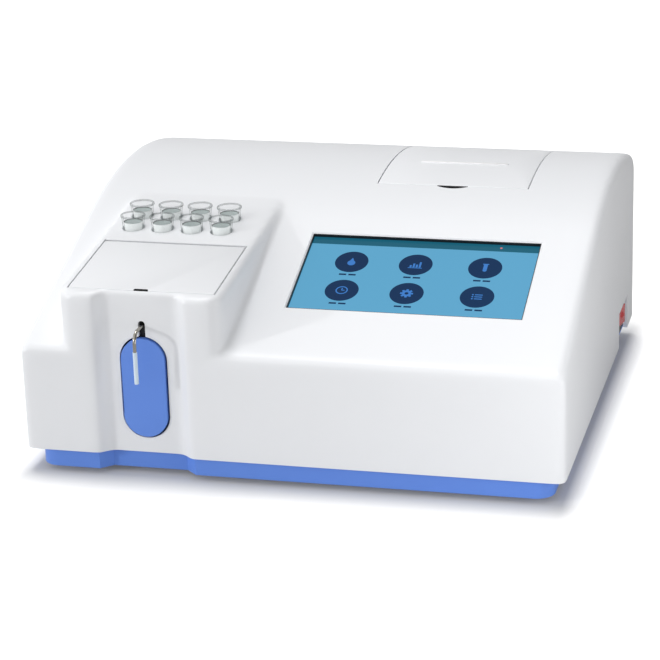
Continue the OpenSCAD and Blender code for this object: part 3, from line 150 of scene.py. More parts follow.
def layFloor(setup):
    bpy.ops.object.select_all(action="DESELECT")
    bpy.ops.mesh.primitive_plane_add(size=setup["size"])
    floor = bpy.context.object
    floor.name = "floor"
    mat = bpy.data.materials.new("paleFloor")
    mat.use_nodes = True
    tree = mat.node_tree
    shade = tree.nodes["Principled BSDF"]
    shade.inputs["Base Color"].default_value = (*setup["colour"], 1)
    shade.inputs["Roughness"].default_value = setup["rough"]
    shade.inputs["Specular IOR Level"].default_value = 0
    shade.inputs["Emission Color"].default_value = (1, 1, 1, 1)
    # the floor's own glow is low near the object, painted shade that deepens its real shadow there, and turns
    # to plain white a short way from the object
    spot = tree.nodes.new("ShaderNodeTexCoord")
    parts = tree.nodes.new("ShaderNodeSeparateXYZ")
    tree.links.new(spot.outputs["Object"], parts.inputs[0])
    away = tree.nodes.new("ShaderNodeCombineXYZ")
    for i, axis in enumerate("XY"):
        size = tree.nodes.new("ShaderNodeMath")
        size.operation = "ABSOLUTE"
        tree.links.new(parts.outputs[axis], size.inputs[0])
        gap = tree.nodes.new("ShaderNodeMapRange")
        gap.inputs["From Min"].default_value = setup["half"][i]
        gap.inputs["From Max"].default_value = setup["half"][i] + setup["fade"][i]
        tree.links.new(size.outputs[0], gap.inputs["Value"])
        tree.links.new(gap.outputs["Result"], away.inputs[axis])
    reach = tree.nodes.new("ShaderNodeVectorMath")
    reach.operation = "LENGTH"
    tree.links.new(away.outputs[0], reach.inputs[0])
    level = tree.nodes.new("ShaderNodeMapRange")
    level.inputs["To Min"].default_value = setup["lift"]
    level.inputs["To Max"].default_value = setup["farLift"]
    tree.links.new(reach.outputs["Value"], level.inputs["Value"])
    lift = tree.nodes.new("ShaderNodeMath")
    lift.operation = "MULTIPLY"
    tree.links.new(level.outputs["Result"], lift.inputs[1])
    tree.links.new(seenRays(tree), lift.inputs[0])
    tree.links.new(lift.outputs[0], shade.inputs["Emission Strength"])
    floor.data.materials.append(mat)


layFloor(floorSetup)
print("floor laid")


# finishes: colour that drifts a little, uneven gloss and a fine moulded grain
grainSetup = {"from": 0.3, "to": 0.7, "cloudDetail": 4, "fineDetail": 2, "dent": 0.0002}
clearSetup = {"cloud": 260, "spread": 0.05, "blend": 0.5, "start": 0.6}
litSetup = {"dim": 0.1, "rough": (0.16, 0.2), "grain": 900, "bump": 0.01, "specular": 0.12,
            "place": (0.45, 0.4, 0), "scale": (2.4, 4, 1), "turn": (0, 0, 0.7)}


def makeFinish(name, colour, second, rough, grain, bump, drift=14, metal=0, stretch=(1, 1, 1)):
    mat = bpy.data.materials.new(name)
    mat.use_nodes = True
    tree = mat.node_tree
    shade = tree.nodes["Principled BSDF"]
    shade.inputs["Metallic"].default_value = metal
    place = tree.nodes.new("ShaderNodeTexCoord")
    turn = tree.nodes.new("ShaderNodeMapping")
    turn.inputs["Scale"].default_value = stretch
    tree.links.new(place.outputs["Object"], turn.inputs["Vector"])
    cloud = tree.nodes.new("ShaderNodeTexNoise")
    cloud.inputs["Scale"].default_value = drift
    cloud.inputs["Detail"].default_value = grainSetup["cloudDetail"]
    tree.links.new(turn.outputs["Vector"], cloud.inputs["Vector"])
    ramp = tree.nodes.new("ShaderNodeValToRGB")
    ramp.color_ramp.elements[0].position = grainSetup["from"]
    ramp.color_ramp.elements[1].position = grainSetup["to"]
    ramp.color_ramp.elements[0].color = (*colour, 1)
    ramp.color_ramp.elements[1].color = (*second, 1)
    tree.links.new(cloud.outputs["Fac"], ramp.inputs["Fac"])
    tree.links.new(ramp.outputs["Color"], shade.inputs["Base Color"])
    gloss = tree.nodes.new("ShaderNodeMapRange")
    gloss.inputs["From Min"].default_value = grainSetup["from"]
    gloss.inputs["From Max"].default_value = grainSetup["to"]
    gloss.inputs["To Min"].default_value = rough[0]
    gloss.inputs["To Max"].default_value = rough[1]
    tree.links.new(cloud.outputs["Fac"], gloss.inputs["Value"])
    tree.links.new(gloss.outputs["Result"], shade.inputs["Roughness"])
    fine = tree.nodes.new("ShaderNodeTexNoise")
    fine.inputs["Scale"].default_value = grain
    fine.inputs["Detail"].default_value = grainSetup["fineDetail"]
    tree.links.new(turn.outputs["Vector"], fine.inputs["Vector"])
    dent = tree.nodes.new("ShaderNodeBump")
    dent.inputs["Strength"].default_value = bump
    dent.inputs["Distance"].default_value = grainSetup["dent"]
    tree.links.new(fine.outputs["Fac"], dent.inputs["Height"])
    tree.links.new(dent.outputs["Normal"], shade.inputs["Normal"])
    return mat


def makeClear(name, tint, face, edge, rough, glow=0):
    # thin clear moulding: nearly unseen face on, a grey line where the wall is seen edge on
    mat = bpy.data.materials.new(name)
    mat.use_nodes = True
    tree = mat.node_tree
    shade = tree.nodes["Principled BSDF"]
    place = tree.nodes.new("ShaderNodeTexCoord")
    cloud = tree.nodes.new("ShaderNodeTexNoise")
    cloud.inputs["Scale"].default_value = clearSetup["cloud"]
    tree.links.new(place.outputs["Object"], cloud.inputs["Vector"])
    gloss = tree.nodes.new("ShaderNodeMapRange")
    gloss.inputs["To Min"].default_value = rough
    gloss.inputs["To Max"].default_value = rough + clearSetup["spread"]
    tree.links.new(cloud.outputs["Fac"], gloss.inputs["Value"])
    tree.links.new(gloss.outputs["Result"], shade.inputs["Roughness"])
    shade.inputs["Base Color"].default_value = (*tint, 1)
    slant = tree.nodes.new("ShaderNodeLayerWeight")
    slant.inputs["Blend"].default_value = clearSetup["blend"]
    cover = tree.nodes.new("ShaderNodeMapRange")
    cover.inputs["From Min"].default_value = clearSetup["start"]
    cover.inputs["To Min"].default_value = face
    cover.inputs["To Max"].default_value = edge
    tree.links.new(slant.outputs["Facing"], cover.inputs["Value"])
    tree.links.new(cover.outputs["Result"], shade.inputs["Alpha"])
    # painted light: a little glow that stands in for light coming through from behind
    shade.inputs["Emission Color"].default_value = (*tint, 1)
    shade.inputs["Emission Strength"].default_value = glow
    return mat


def makeLit(name, colour, second):
    # picture of the screen: its own light with a slow drift from one colour to the other
    dull = [[c * litSetup["dim"] for c in shade] for shade in (colour, second)]
    mat = makeFinish(name, *dull, litSetup["rough"], litSetup["grain"], litSetup["bump"])
    tree = mat.node_tree
    shade = tree.nodes["Principled BSDF"]
    place = tree.nodes["Texture Coordinate"]
    glow = tree.nodes.new("ShaderNodeTexGradient")
    turn = tree.nodes.new("ShaderNodeMapping")
    turn.inputs["Location"].default_value = litSetup["place"]
    turn.inputs["Scale"].default_value = litSetup["scale"]
    turn.inputs["Rotation"].default_value = litSetup["turn"]
    ramp = tree.nodes.new("ShaderNodeValToRGB")
    ramp.color_ramp.elements[0].color = (*colour, 1)
    ramp.color_ramp.elements[1].color = (*second, 1)
    tree.links.new(place.outputs["Object"], turn.inputs["Vector"])
    tree.links.new(turn.outputs["Vector"], glow.inputs["Vector"])
    tree.links.new(glow.outputs["Fac"], ramp.inputs["Fac"])
    tree.links.new(ramp.outputs["Color"], shade.inputs["Emission Color"])
    shade.inputs["Emission Strength"].default_value = 1
    shade.inputs["Specular IOR Level"].default_value = litSetup["specular"]
    return mat


# colours, roughness from and to, scale and depth of the grain, then drift, metal and stretch
mouldings = {
    "whiteShell": ((0.868, 0.88, 0.905), (0.855, 0.868, 0.893), (0.34, 0.42), 1500, 0.06),
    # brighter copy of the white plastic, a painted highlight for the lit tear bar
    "lipPaintedHighlight": ((0.95, 0.95, 0.96), (0.93, 0.93, 0.945), (0.25, 0.32), 1500, 0.03),
    "blueTray": ((0.132, 0.285, 0.81), (0.123, 0.268, 0.79), (0.36, 0.46), 1300, 0.08),
    "brightSteel": ((0.72, 0.71, 0.69), (0.62, 0.61, 0.6), (0.16, 0.28), 700, 0.04, 40, 1, (1, 1, 0.15)),
    "zincScrew": ((0.66, 0.67, 0.68), (0.55, 0.56, 0.58), (0.25, 0.38), 1500, 0.06, 120, 1),
    "darkPlastic": ((0.035, 0.036, 0.04), (0.028, 0.029, 0.032), (0.4, 0.55), 1200, 0.12),
    # black of the tubs, also used as painted shade on the cover's scoop edge and the lid's slot walls
    "blackTubAndPaintedShade": ((0.012, 0.012, 0.013), (0.009, 0.009, 0.01), (0.55, 0.7), 1200, 0.12),
    "blackGasket": ((0.006, 0.007, 0.009), (0.009, 0.01, 0.012), (0.35, 0.5), 1200, 0.1),
    "greyPlastic": ((0.42, 0.43, 0.45), (0.38, 0.39, 0.41), (0.4, 0.52), 1300, 0.1),
    "blackRubber": ((0.025, 0.025, 0.027), (0.035, 0.035, 0.036), (0.65, 0.8), 900, 0.25),
    "greenBoard": ((0.02, 0.14, 0.06), (0.015, 0.11, 0.05), (0.3, 0.4), 600, 0.1, 60),
    "paintedPanel": ((0.6, 0.61, 0.62), (0.56, 0.57, 0.58), (0.45, 0.55), 1100, 0.2),
    "castAlloy": ((0.66, 0.67, 0.69), (0.55, 0.56, 0.58), (0.32, 0.45), 500, 0.12, 30, 1),
    "paleBlock": ((0.86, 0.87, 0.88), (0.82, 0.83, 0.84), (0.35, 0.45), 900, 0.08),
    "thermalPaper": ((0.88, 0.88, 0.86), (0.84, 0.84, 0.82), (0.6, 0.7), 800, 0.08, 90),
    "probeSteel": ((0.44, 0.42, 0.38), (0.36, 0.34, 0.3), (0.14, 0.22), 700, 0.03, 60, 1, (1, 1, 0.15)),
    # darker copy of the rocker red, painted shade for its pressed-in front half
    "paintedShadeRed": ((0.16, 0.006, 0.008), (0.13, 0.005, 0.006), (0.25, 0.34), 1200, 0.04),
    "redRocker": ((0.68, 0.05, 0.055), (0.6, 0.04, 0.045), (0.22, 0.3), 1200, 0.04),
    "softTube": ((0.7, 0.74, 0.76), (0.64, 0.68, 0.7), (0.25, 0.35), 900, 0.06, 60),
    "waxySleeve": ((0.74, 0.86, 0.96), (0.7, 0.82, 0.93), (0.3, 0.4), 1500, 0.05, 200),
    "filterTint": ((0.32, 0.06, 0.3), (0.08, 0.12, 0.4), (0.06, 0.12), 500, 0.02, 30),
    "screenGlass": ((0.012, 0.015, 0.018), (0.015, 0.018, 0.022), (0.06, 0.1), 900, 0.01),
}

# tint, cover face on, cover edge on, roughness and glow, which is painted light
clearFinishes = {
    "clearCup": ((0.16, 0.2, 0.2), 0.02, 0.85, 0.05),
    "cupRim": ((0.2, 0.23, 0.23), 0.45, 0.7, 0.06),
    "clearSample": ((0.84, 0.87, 0.87), 0.75, 0.85, 0.03, 0.25),
    "sampleTop": ((0.3, 0.37, 0.36), 0.7, 0.85, 0.03, 0.05),
    # near-black, painted shade for the dark ring at the liquid's edge
    "meniscusPaintedShade": ((0.05, 0.07, 0.07), 0.75, 0.85, 0.03),
    "clearCell": ((0.5, 0.56, 0.58), 0.12, 0.8, 0.04),
}

litFinishes = {
    "litField": ((0.088, 0.33, 0.51), (0.105, 0.35, 0.56)),
    "litBar": ((0.008, 0.095, 0.155), (0.010, 0.11, 0.17)),
    "litNavy": ((0.002, 0.016, 0.06), (0.003, 0.03, 0.095)),
    "litBlue": ((0.03, 0.15, 0.48), (0.05, 0.2, 0.55)),
    "litLamp": ((0.55, 0.16, 0.18), (0.6, 0.2, 0.2)),
}

finishes = {name: makeFinish(name, *row) for name, row in mouldings.items()}
finishes.update({name: makeClear(name, *row) for name, row in clearFinishes.items()})
finishes.update({name: makeLit(name, *row) for name, row in litFinishes.items()})

nodeFinish = {
    "blueTray": ["base_tray"],
    "blackRubber": ["rubber_feet", "platen_roller"],
    "zincScrew": ["case_screws", "display_screws"],
    "paintedPanel": ["rear_panel", "display_bracket", "power_supply"],
    "brightSteel": ["lid_rod", "cover_rod", "key_pin", "roller_1", "roller_2", "roller_3", "lens"],
    "probeSteel": ["probe_tube"],
    "waxySleeve": ["probe_tip"],
    "softTube": ["sample_tube", "pump_tube"],
    "paleBlock": ["incubator_block"],
    "castAlloy": ["flow_cell_block", "optical_bench", "wheel_motor", "pump_motor", "filter_wheel"],
    "clearCell": ["flow_cell", "lamp"],
    "greenBoard": ["detector_board", "main_board"],
    "greyPlastic": ["pump_rotor"],
    "whiteShell": ["cup_rack"],
    "blackTubAndPaintedShade": ["cell_tub", "printer_tub"],
    "filterTint": ["filters"],
    "thermalPaper": ["paper_roll"],
}


def coatNodes():
    chosen = {node: finish for finish, group in nodeFinish.items() for node in group}
    for name, obj in nodes.items():
        obj.data.materials.clear()
        obj.data.materials.append(finishes[chosen.get(name, "darkPlastic")])


coatNodes()
print("finishes on the CAD nodes")


def dress(obj, finish, node, body, smooth=40):
    obj.data.materials.clear()
    obj.data.materials.append(finishes[finish])
    focus(obj)
    bpy.ops.object.shade_smooth_by_angle(angle=math.radians(smooth))
    if node:
        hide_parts(*([node] if isinstance(node, str) else node))
    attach(obj, body)
    return obj


# modelling helpers
smoothFactor = 0.5
hairline = 1e-5


def focus(obj):
    bpy.ops.object.select_all(action="DESELECT")
    obj.select_set(True)
    bpy.context.view_layer.objects.active = obj


def settle(obj):
    focus(obj)
    bpy.ops.object.transform_apply(location=True, rotation=True, scale=True)
    return obj


def addBox(name, low, high):
    bpy.ops.object.select_all(action="DESELECT")
    middle = [(a + b) / 2 for a, b in zip(low, high)]
    bpy.ops.mesh.primitive_cube_add(size=1, location=middle, scale=[b - a for a, b in zip(low, high)])
    bpy.context.object.name = name
    return settle(bpy.context.object)


def addRod(name, radius, length, place, axis="Z", sides=64):
    bpy.ops.object.select_all(action="DESELECT")
    turn = {"X": (0, math.pi / 2, 0), "Y": (math.pi / 2, 0, 0), "Z": (0, 0, 0)}[axis]
    bpy.ops.mesh.primitive_cylinder_add(vertices=sides, radius=radius, depth=length, location=place,
                                        rotation=turn)
    bpy.context.object.name = name
    return settle(bpy.context.object)


def trim(obj, point, normal):
    focus(obj)
    bpy.ops.object.mode_set(mode="EDIT")
    bpy.ops.mesh.select_all(action="SELECT")
    bpy.ops.mesh.bisect(plane_co=point, plane_no=normal, use_fill=True, clear_outer=True)
    bpy.ops.object.mode_set(mode="OBJECT")
    return obj


def finishWith(obj, kind, **settings):
    focus(obj)
    step = obj.modifiers.new(kind.lower(), kind)
    for key, value in settings.items():
        setattr(step, key, value)
    bpy.ops.object.modifier_apply(modifier=step.name)
    return obj


def combine(obj, other, how="DIFFERENCE", solver="MANIFOLD"):
    finishWith(obj, "BOOLEAN", operation=how, object=other, solver=solver)
    bpy.data.objects.remove(other)
    return obj


def joinAll(objs):
    focus(objs[0])
    for o in objs[1:]:
        o.select_set(True)
    bpy.ops.object.join()
    return objs[0]


def soften(obj, voxel, passes):
    finishWith(obj, "REMESH", mode="VOXEL", voxel_size=voxel)
    return finishWith(obj, "SMOOTH", factor=smoothFactor, iterations=passes)


# white housing with its raised sample block
shell = {
    "half": 0.175, "front": -0.165, "rear": 0.165, "lip": 0.016, "crease": 0.0855, "slope": 19.3,
    "bend": -0.024, "overlap": 0.004, "top": 0.2, "bodyLow": -0.04, "wall": 0.003, "voxel": 0.002,
    "crownR": 0.290, "crownY": 0.071849, "crownZ": -0.138826, "crownL": 0.4, "crownSides": 512,
    "rearCut": 0.005, "rearZ": 0.1355, "rearLean": (0, 0.62, 0.78),
    "blockX": -0.094, "blockHalf": 0.054, "blockCorner": 0.012, "blockZ": 0.123, "blockTilt": 6.5,
    "blockEnd": 0.02, "blockLow": 0.03, "cornerSteps": 10, "uprightMin": 0.05,
    "recessHalf": 0.0235, "recessFlare": 0.0075, "recessDeep": 0.007, "recessFore": 0.02,
    "recessLow": -0.1, "recessHigh": 0.3, "foldReach": 0.008,
    "bodyPasses": 27, "blockPasses": 16, "jointPasses": 2, "foldPasses": 5,
}


def leaning(deg):
    return (0, -math.sin(math.radians(deg)), math.cos(math.radians(deg)))


def wedge(s, inset, low):
    up = Vector(leaning(s["slope"]))
    half, rear = s["half"] - inset, s["rear"] - inset
    fore = addBox("wedgeFront", (-half, s["front"] + inset, low), (half, s["bend"], s["top"]))
    trim(fore, Vector((0, s["front"], s["crease"])) - up * inset, up)
    aft = addBox("wedgeRear", (-half, s["bend"] - s["overlap"], low), (half, rear, s["top"]))
    axle = (0, s["crownY"], s["crownZ"])
    combine(aft, addRod("crown", s["crownR"] - inset, s["crownL"], axle, "X", s["crownSides"]), "INTERSECT")
    trim(aft, (0, rear - s["rearCut"], s["rearZ"] - inset), s["rearLean"])
    return combine(fore, aft, "UNION")


def roundUprights(obj, front, radius):
    focus(obj)
    bpy.ops.object.mode_set(mode="EDIT")
    bpy.ops.mesh.select_mode(type="EDGE")
    bpy.ops.mesh.select_all(action="DESELECT")
    bpy.ops.object.mode_set(mode="OBJECT")
    points = obj.data.vertices
    for edge in obj.data.edges:
        a, b = (points[i].co for i in edge.vertices)
        onFront = abs(a.y - front) < hairline and abs(b.y - front) < hairline
        edge.select = onFront and abs(a.z - b.z) > shell["uprightMin"]
    bpy.ops.object.mode_set(mode="EDIT")
    bpy.ops.mesh.bevel(offset=radius, segments=shell["cornerSteps"])
    bpy.ops.object.mode_set(mode="OBJECT")


def sampleBlock(s, inset, low):
    up = Vector(leaning(s["blockTilt"]))
    block = addBox("block", (s["blockX"] - s["blockHalf"] + inset, s["front"] + inset, low),
                   (s["blockX"] + s["blockHalf"] - inset, s["blockEnd"], s["top"]))
    roundUprights(block, s["front"] + inset, s["blockCorner"] - inset)
    return trim(block, Vector((0, s["front"], s["blockZ"])) - up * inset, up)


def recessCutter(s, grow):
    half, flare, deep = s["recessHalf"], s["recessFlare"], s["recessDeep"]
    side = grow * math.hypot(flare, deep) / deep
    cutter = addBox("recess", (s["blockX"] - 1, s["front"] - s["recessFore"], s["recessLow"]),
                    (s["blockX"] + 1, s["front"] + deep + grow, s["recessHigh"]))
    for sign in (-1, 1):
        edge = Vector((s["blockX"] + sign * (half + side), s["front"] + deep, 0))
        trim(cutter, edge, (sign * deep, flare, 0))
    return cutter


def moldHousing(s):
    body = soften(wedge(s, 0, s["bodyLow"]), s["voxel"], s["bodyPasses"])
    block = soften(sampleBlock(s, 0, s["blockLow"]), s["voxel"], s["blockPasses"])
    combine(body, block, "UNION")
    combine(body, recessCutter(s, 0))
    soften(body, s["voxel"], s["jointPasses"])
    folds = body.vertex_groups.new(name="folds")
    reach = s["recessHalf"] + s["recessFlare"] + s["foldReach"]
    behind = s["front"] + s["recessDeep"] + s["foldReach"]
    chosen = [v.index for v in body.data.vertices
              if abs(v.co.x - s["blockX"]) < reach and v.co.y < behind]
    folds.add(chosen, 1, "REPLACE")
    finishWith(body, "SMOOTH", factor=smoothFactor, iterations=s["foldPasses"], vertex_group="folds")
    body.vertex_groups.clear()
    trim(body, (0, 0, s["lip"]), (0, 0, -1))
    return body


# openings of the housing, at the places they have in the solids
openings = {
    "deep": 0.008, "over": 0.004,
    "window": {"x": 0.064, "s": 0.0943, "w": 0.152, "h": 0.080, "flare": 0.0009},
    "lid": {"w": 0.0972, "from": 0.0089, "to": 0.0846, "flare": 0.0004},
    "cups": {"r": 0.0076, "xs": (-0.12995, -0.10965, -0.08935, -0.06905), "ys": (-0.060, -0.040),
             "z": 0.142, "h": 0.06},
    "key": {"w": 0.0314, "h": 0.0684, "z": 0.060, "slotW": 0.0046, "slotTop": 0.10215, "in": 0.006},
    "printer": {"x": 0.069, "w": 0.1042, "from": -9.415, "to": 13.497, "half": 0.03, "out": 0.006},
    "scoop": {"r": 0.020, "deep": 0.0032},
    "rear": {"half": 0.150, "low": 0.024, "high": 0.104, "in": 0.006},
    "notch": {"from": 0.0847, "to": 0.1293, "high": 0.0413, "in": 0.006},
}


def paintFaces(obj, finish, chosen):
    # another finish on the faces that the test picks by their middle
    obj.data.materials.append(finishes[finish])
    for face in obj.data.polygons:
        if chosen(face.center):
            face.material_index = len(obj.data.materials) - 1


def onPlane(obj, point, degrees):
    turn = Matrix.Rotation(math.radians(degrees), 4, "X")
    obj.matrix_world = Matrix.Translation(point) @ turn @ obj.matrix_world
    return settle(obj)


def onSlope(obj):
    return onPlane(obj, (0, shell["front"], shell["crease"]), shell["slope"])


def onBlock(obj):
    return onPlane(obj, (shell["blockX"], shell["front"], shell["blockZ"]), shell["blockTilt"])


def onCrown(obj, degrees):
    axle = Vector((0, shell["crownY"], shell["crownZ"]))
    spoke = Matrix.Rotation(math.radians(-degrees), 3, "X") @ Vector((0, 0, shell["crownR"]))
    return onPlane(obj, axle + spoke, -degrees)


def flaredBox(name, low, high, flare):
    # straight hole whose mouth opens by the flare
    hole = addBox(name, low, (high[0], high[1], -flare))
    focus(hole)
    bpy.ops.object.mode_set(mode="EDIT")
    bpy.ops.mesh.select_mode(type="FACE")
    bpy.ops.mesh.select_all(action="DESELECT")
    bpy.ops.object.mode_set(mode="OBJECT")
    for face in hole.data.polygons:
        face.select = face.normal.z > 0.9
    bpy.ops.object.mode_set(mode="EDIT")
    bpy.ops.mesh.extrude_region_move(TRANSFORM_OT_translate={"value": (0, 0, flare)})
    wide = [(b - a + 2 * flare) / (b - a) for a, b in zip(low[:2], high[:2])]
    bpy.ops.transform.resize(value=(*wide, 1))
    bpy.ops.mesh.extrude_region_move(TRANSFORM_OT_translate={"value": (0, 0, high[2])})
    bpy.ops.object.mode_set(mode="OBJECT")
    return hole


def pillShape(name, width, height, low, high, place, sides=96):
    # capsule seen from the front, pushed through from depth low to depth high
    half = (height - width) / 2
    middle = (low + high) / 2
    pill = addBox(name, (-width / 2, low, -half), (width / 2, high, half))
    for side in (-1, 1):
        combine(pill, addRod("pillEnd", width / 2, high - low, (0, middle, side * half), "Y", sides), "UNION")
    pill.location = place
    return settle(pill)


def cutHousing(body, s, o):
    # hollow first, then every opening
    inside = combine(wedge(s, s["wall"], 0), sampleBlock(s, s["wall"], s["blockLow"]), "UNION")
    combine(inside, recessCutter(s, s["wall"]))
    combine(body, inside)
    deep, over = o["deep"], o["over"]
    w = o["window"]
    cutters = [onSlope(flaredBox("windowCut", (w["x"] - w["w"] / 2, w["s"] - w["h"] / 2, -deep),
                                 (w["x"] + w["w"] / 2, w["s"] + w["h"] / 2, over), w["flare"]))]
    d = o["lid"]
    cutters.append(onBlock(flaredBox("lidCut", (-d["w"] / 2, d["from"], -deep),
                                     (d["w"] / 2, d["to"], over), d["flare"])))
    c = o["cups"]
    for x in c["xs"]:
        for y in c["ys"]:
            cutters.append(addRod("cupCut", c["r"], c["h"], (x, y, c["z"]), "Z", 48))
    p = o["printer"]
    sector = addBox("printerCut", (p["x"] - p["w"] / 2, -p["half"], -deep),
                    (p["x"] + p["w"] / 2, p["half"], p["out"]))
    for v in sector.data.vertices:
        turn = math.radians(p["from"] if v.co.y < 0 else p["to"])
        r = s["crownR"] - deep if v.co.z < 0 else s["crownR"] + p["out"]
        v.co = (v.co.x, s["crownY"] + r * math.sin(turn), s["crownZ"] + r * math.cos(turn))
    cutters.append(sector)
    r = o["rear"]
    cutters.append(addBox("rearCut", (-r["half"], s["rear"] - r["in"], r["low"]),
                          (r["half"], s["rear"] + over, r["high"])))
    n = o["notch"]
    cutters.append(addBox("notchCut", (s["half"] - n["in"], n["from"], 0),
                          (s["half"] + over, n["to"], n["high"])))
    for cutter in cutters:
        combine(body, cutter)
    k = o["key"]
    front = s["front"] + s["recessDeep"]
    combine(body, pillShape("keyCut", k["w"], k["h"], -over, k["in"], (s["blockX"], front, k["z"])))
    slotMiddle = (k["z"] + k["slotTop"]) / 2
    combine(body, pillShape("probeSlot", k["slotW"], k["slotTop"] - k["z"] + k["slotW"], -over, k["in"],
                            (s["blockX"], front, slotMiddle)))
    q = o["scoop"]
    notch = addRod("scoopCut", q["r"], 4 * s["wall"], (p["x"], q["r"] - q["deep"], 0), "Z", 128)
    combine(body, onCrown(notch, p["from"]))
    return body


housing = cutHousing(moldHousing(shell), shell, openings)
housing.name = "housingShell"
dress(housing, "whiteShell", ("upper_housing", "cup_rack"), "chassis")
print("housing moulded with", len(housing.data.polygons), "faces")


# flow cell lid: thin plate, soft rim, finger slot and two hinge barrels below
lidPlate = {"half": 0.048, "from": 0.0095, "to": 0.082, "thick": 0.003, "soft": 0.0007, "slotW": 0.0095,
            "slotH": 0.0026, "slotAt": 0.0100, "slotDeep": 0.01, "slotSoft": 0.49, "earX": 0.030,
            "earW": 0.008, "earR": 0.0032, "neckTop": 0.6,
            "rodS": 0.077, "rodN": -0.005, "rodR": 0.0015, "rodL": 0.2}


def makeLid(p):
    plate = addBox("cellLid", (-p["half"], p["from"], -p["thick"]), (p["half"], p["to"], 0))
    finishWith(plate, "BEVEL", width=p["soft"], segments=3, limit_method="ANGLE")
    slot = addBox("lidSlot", (-p["slotW"] / 2, p["slotAt"] - p["slotH"] / 2, -p["slotDeep"]),
                  (p["slotW"] / 2, p["slotAt"] + p["slotH"] / 2, p["slotDeep"]))
    finishWith(slot, "BEVEL", width=p["slotH"] * p["slotSoft"], segments=6, limit_method="ANGLE")
    combine(plate, slot)
    for side in (-1, 1):
        ear = addRod("lidEar", p["earR"], p["earW"], (side * p["earX"], p["rodS"], p["rodN"]), "X", 40)
        neck = addBox("lidNeck", (side * p["earX"] - p["earW"] / 2, p["rodS"] - p["earR"], p["rodN"]),
                      (side * p["earX"] + p["earW"] / 2, p["rodS"] + p["earR"], -p["thick"] * p["neckTop"]))
        combine(plate, combine(ear, neck, "UNION"), "UNION")
    combine(plate, addRod("lidBore", p["rodR"], p["rodL"], (0, p["rodS"], p["rodN"]), "X", 32))
    return onBlock(plate)


lid = makeLid(lidPlate)
dress(lid, "whiteShell", "cell_lid", "cell_lid")


slotRoom = 0.00005


def inSlot(p):
    # walls of the finger slot at the front edge of the lid
    tilt = math.radians(shell["blockTilt"])
    y, z = p.y - shell["front"], p.z - shell["blockZ"]
    along = y * math.cos(tilt) + z * math.sin(tilt)
    above = z * math.cos(tilt) - y * math.sin(tilt)
    q = lidPlate
    inWidth = abs(p.x - shell["blockX"]) < q["slotW"] / 2 + slotRoom
    inHeight = abs(along - q["slotAt"]) < q["slotH"] / 2 + slotRoom
    return inWidth and inHeight and -q["thick"] + 2 * slotRoom < above < -2 * slotRoom


# the walls of the finger slot take the black finish, painted shade inside the slot
paintFaces(lid, "blackTubAndPaintedShade", inSlot)
print("lid made")


# printer cover: arched plate with a paper slot and a tear bar whose brighter white is a painted highlight
coverPlate = {"x": 0.069, "w": 0.103, "from": -9.297, "to": 12.983, "thick": 0.003, "soft": 0.0006,
              "slotA": -0.168, "slotW": 0.0605, "slotH": 0.0016, "slotDeep": 0.01,
              "barH": 0.0008, "barW": 0.0026, "barLow": -0.002, "barSoft": 0.0004,
              "earX": 0.030, "earW": 0.008, "earR": 0.0032, "neckTop": -0.002,
              "rodIn": 0.005, "rodN": -0.005, "boreR": 0.0015, "rodL": 0.2,
              "paintedShadeHalf": 0.0105, "paintedShadeTurn": 0.06, "bendFrom": 0.002, "bendTo": 0.001, "bendStep": 0.003}


def wrapOnCrown(obj):
    r = shell["crownR"]
    for v in obj.data.vertices:
        turn = v.co.y / r
        out = r + v.co.z
        v.co = (v.co.x, shell["crownY"] + out * math.sin(turn), shell["crownZ"] + out * math.cos(turn))
    obj.data.update()
    return obj


def sliceAlong(obj, start, end, step):
    focus(obj)
    bpy.ops.object.mode_set(mode="EDIT")
    at = start
    while at < end:
        bpy.ops.mesh.select_all(action="SELECT")
        bpy.ops.mesh.bisect(plane_co=(0, at, 0), plane_no=(0, 1, 0))
        at += step
    bpy.ops.object.mode_set(mode="OBJECT")
    return obj


def makeCover(p):
    arc = shell["crownR"] * math.pi / 180
    low, high, slot = p["from"] * arc, p["to"] * arc, p["slotA"] * arc
    plate = addBox("printerCover", (p["x"] - p["w"] / 2, low, -p["thick"]), (p["x"] + p["w"] / 2, high, 0))
    finishWith(plate, "BEVEL", width=p["soft"], segments=3, limit_method="ANGLE")
    combine(plate, addBox("paperSlot", (p["x"] - p["slotW"] / 2, slot - p["slotH"] / 2, -p["slotDeep"]),
                          (p["x"] + p["slotW"] / 2, slot + p["slotH"] / 2, p["slotDeep"])))
    rod = high - p["rodIn"]
    for side in (-1, 1):
        x = p["x"] + side * p["earX"]
        ear = addRod("coverEar", p["earR"], p["earW"], (x, rod, p["rodN"]), "X", 40)
        neck = addBox("coverNeck", (x - p["earW"] / 2, rod - p["earR"], p["rodN"]),
                      (x + p["earW"] / 2, rod + p["earR"], p["neckTop"]))
        combine(plate, combine(ear, neck, "UNION"), "UNION")
    combine(plate, addRod("coverBore", p["boreR"], p["rodL"], (p["x"], rod, p["rodN"]), "X", 32))
    # the front edge in the finger scoop is cut apart so that it takes a black finish, painted shade where the
    # scoop lies in shadow
    focus(plate)
    bpy.ops.object.mode_set(mode="EDIT")
    for side in (-1, 1):
        bpy.ops.mesh.select_all(action="SELECT")
        bpy.ops.mesh.bisect(plane_co=(p["x"] + side * p["paintedShadeHalf"], 0, 0), plane_no=(1, 0, 0))
    bpy.ops.object.mode_set(mode="OBJECT")
    return wrapOnCrown(sliceAlong(plate, low + p["bendFrom"], high - p["bendTo"], p["bendStep"]))


# faces of the cover's edge in the finger scoop that take the black painted shade
def inPaintedShade(p):
    y, z = p.y - shell["crownY"], p.z - shell["crownZ"]
    turn = math.degrees(math.atan2(y, z)) - coverPlate["from"]
    return abs(p.x - coverPlate["x"]) < coverPlate["paintedShadeHalf"] and turn < coverPlate["paintedShadeTurn"]


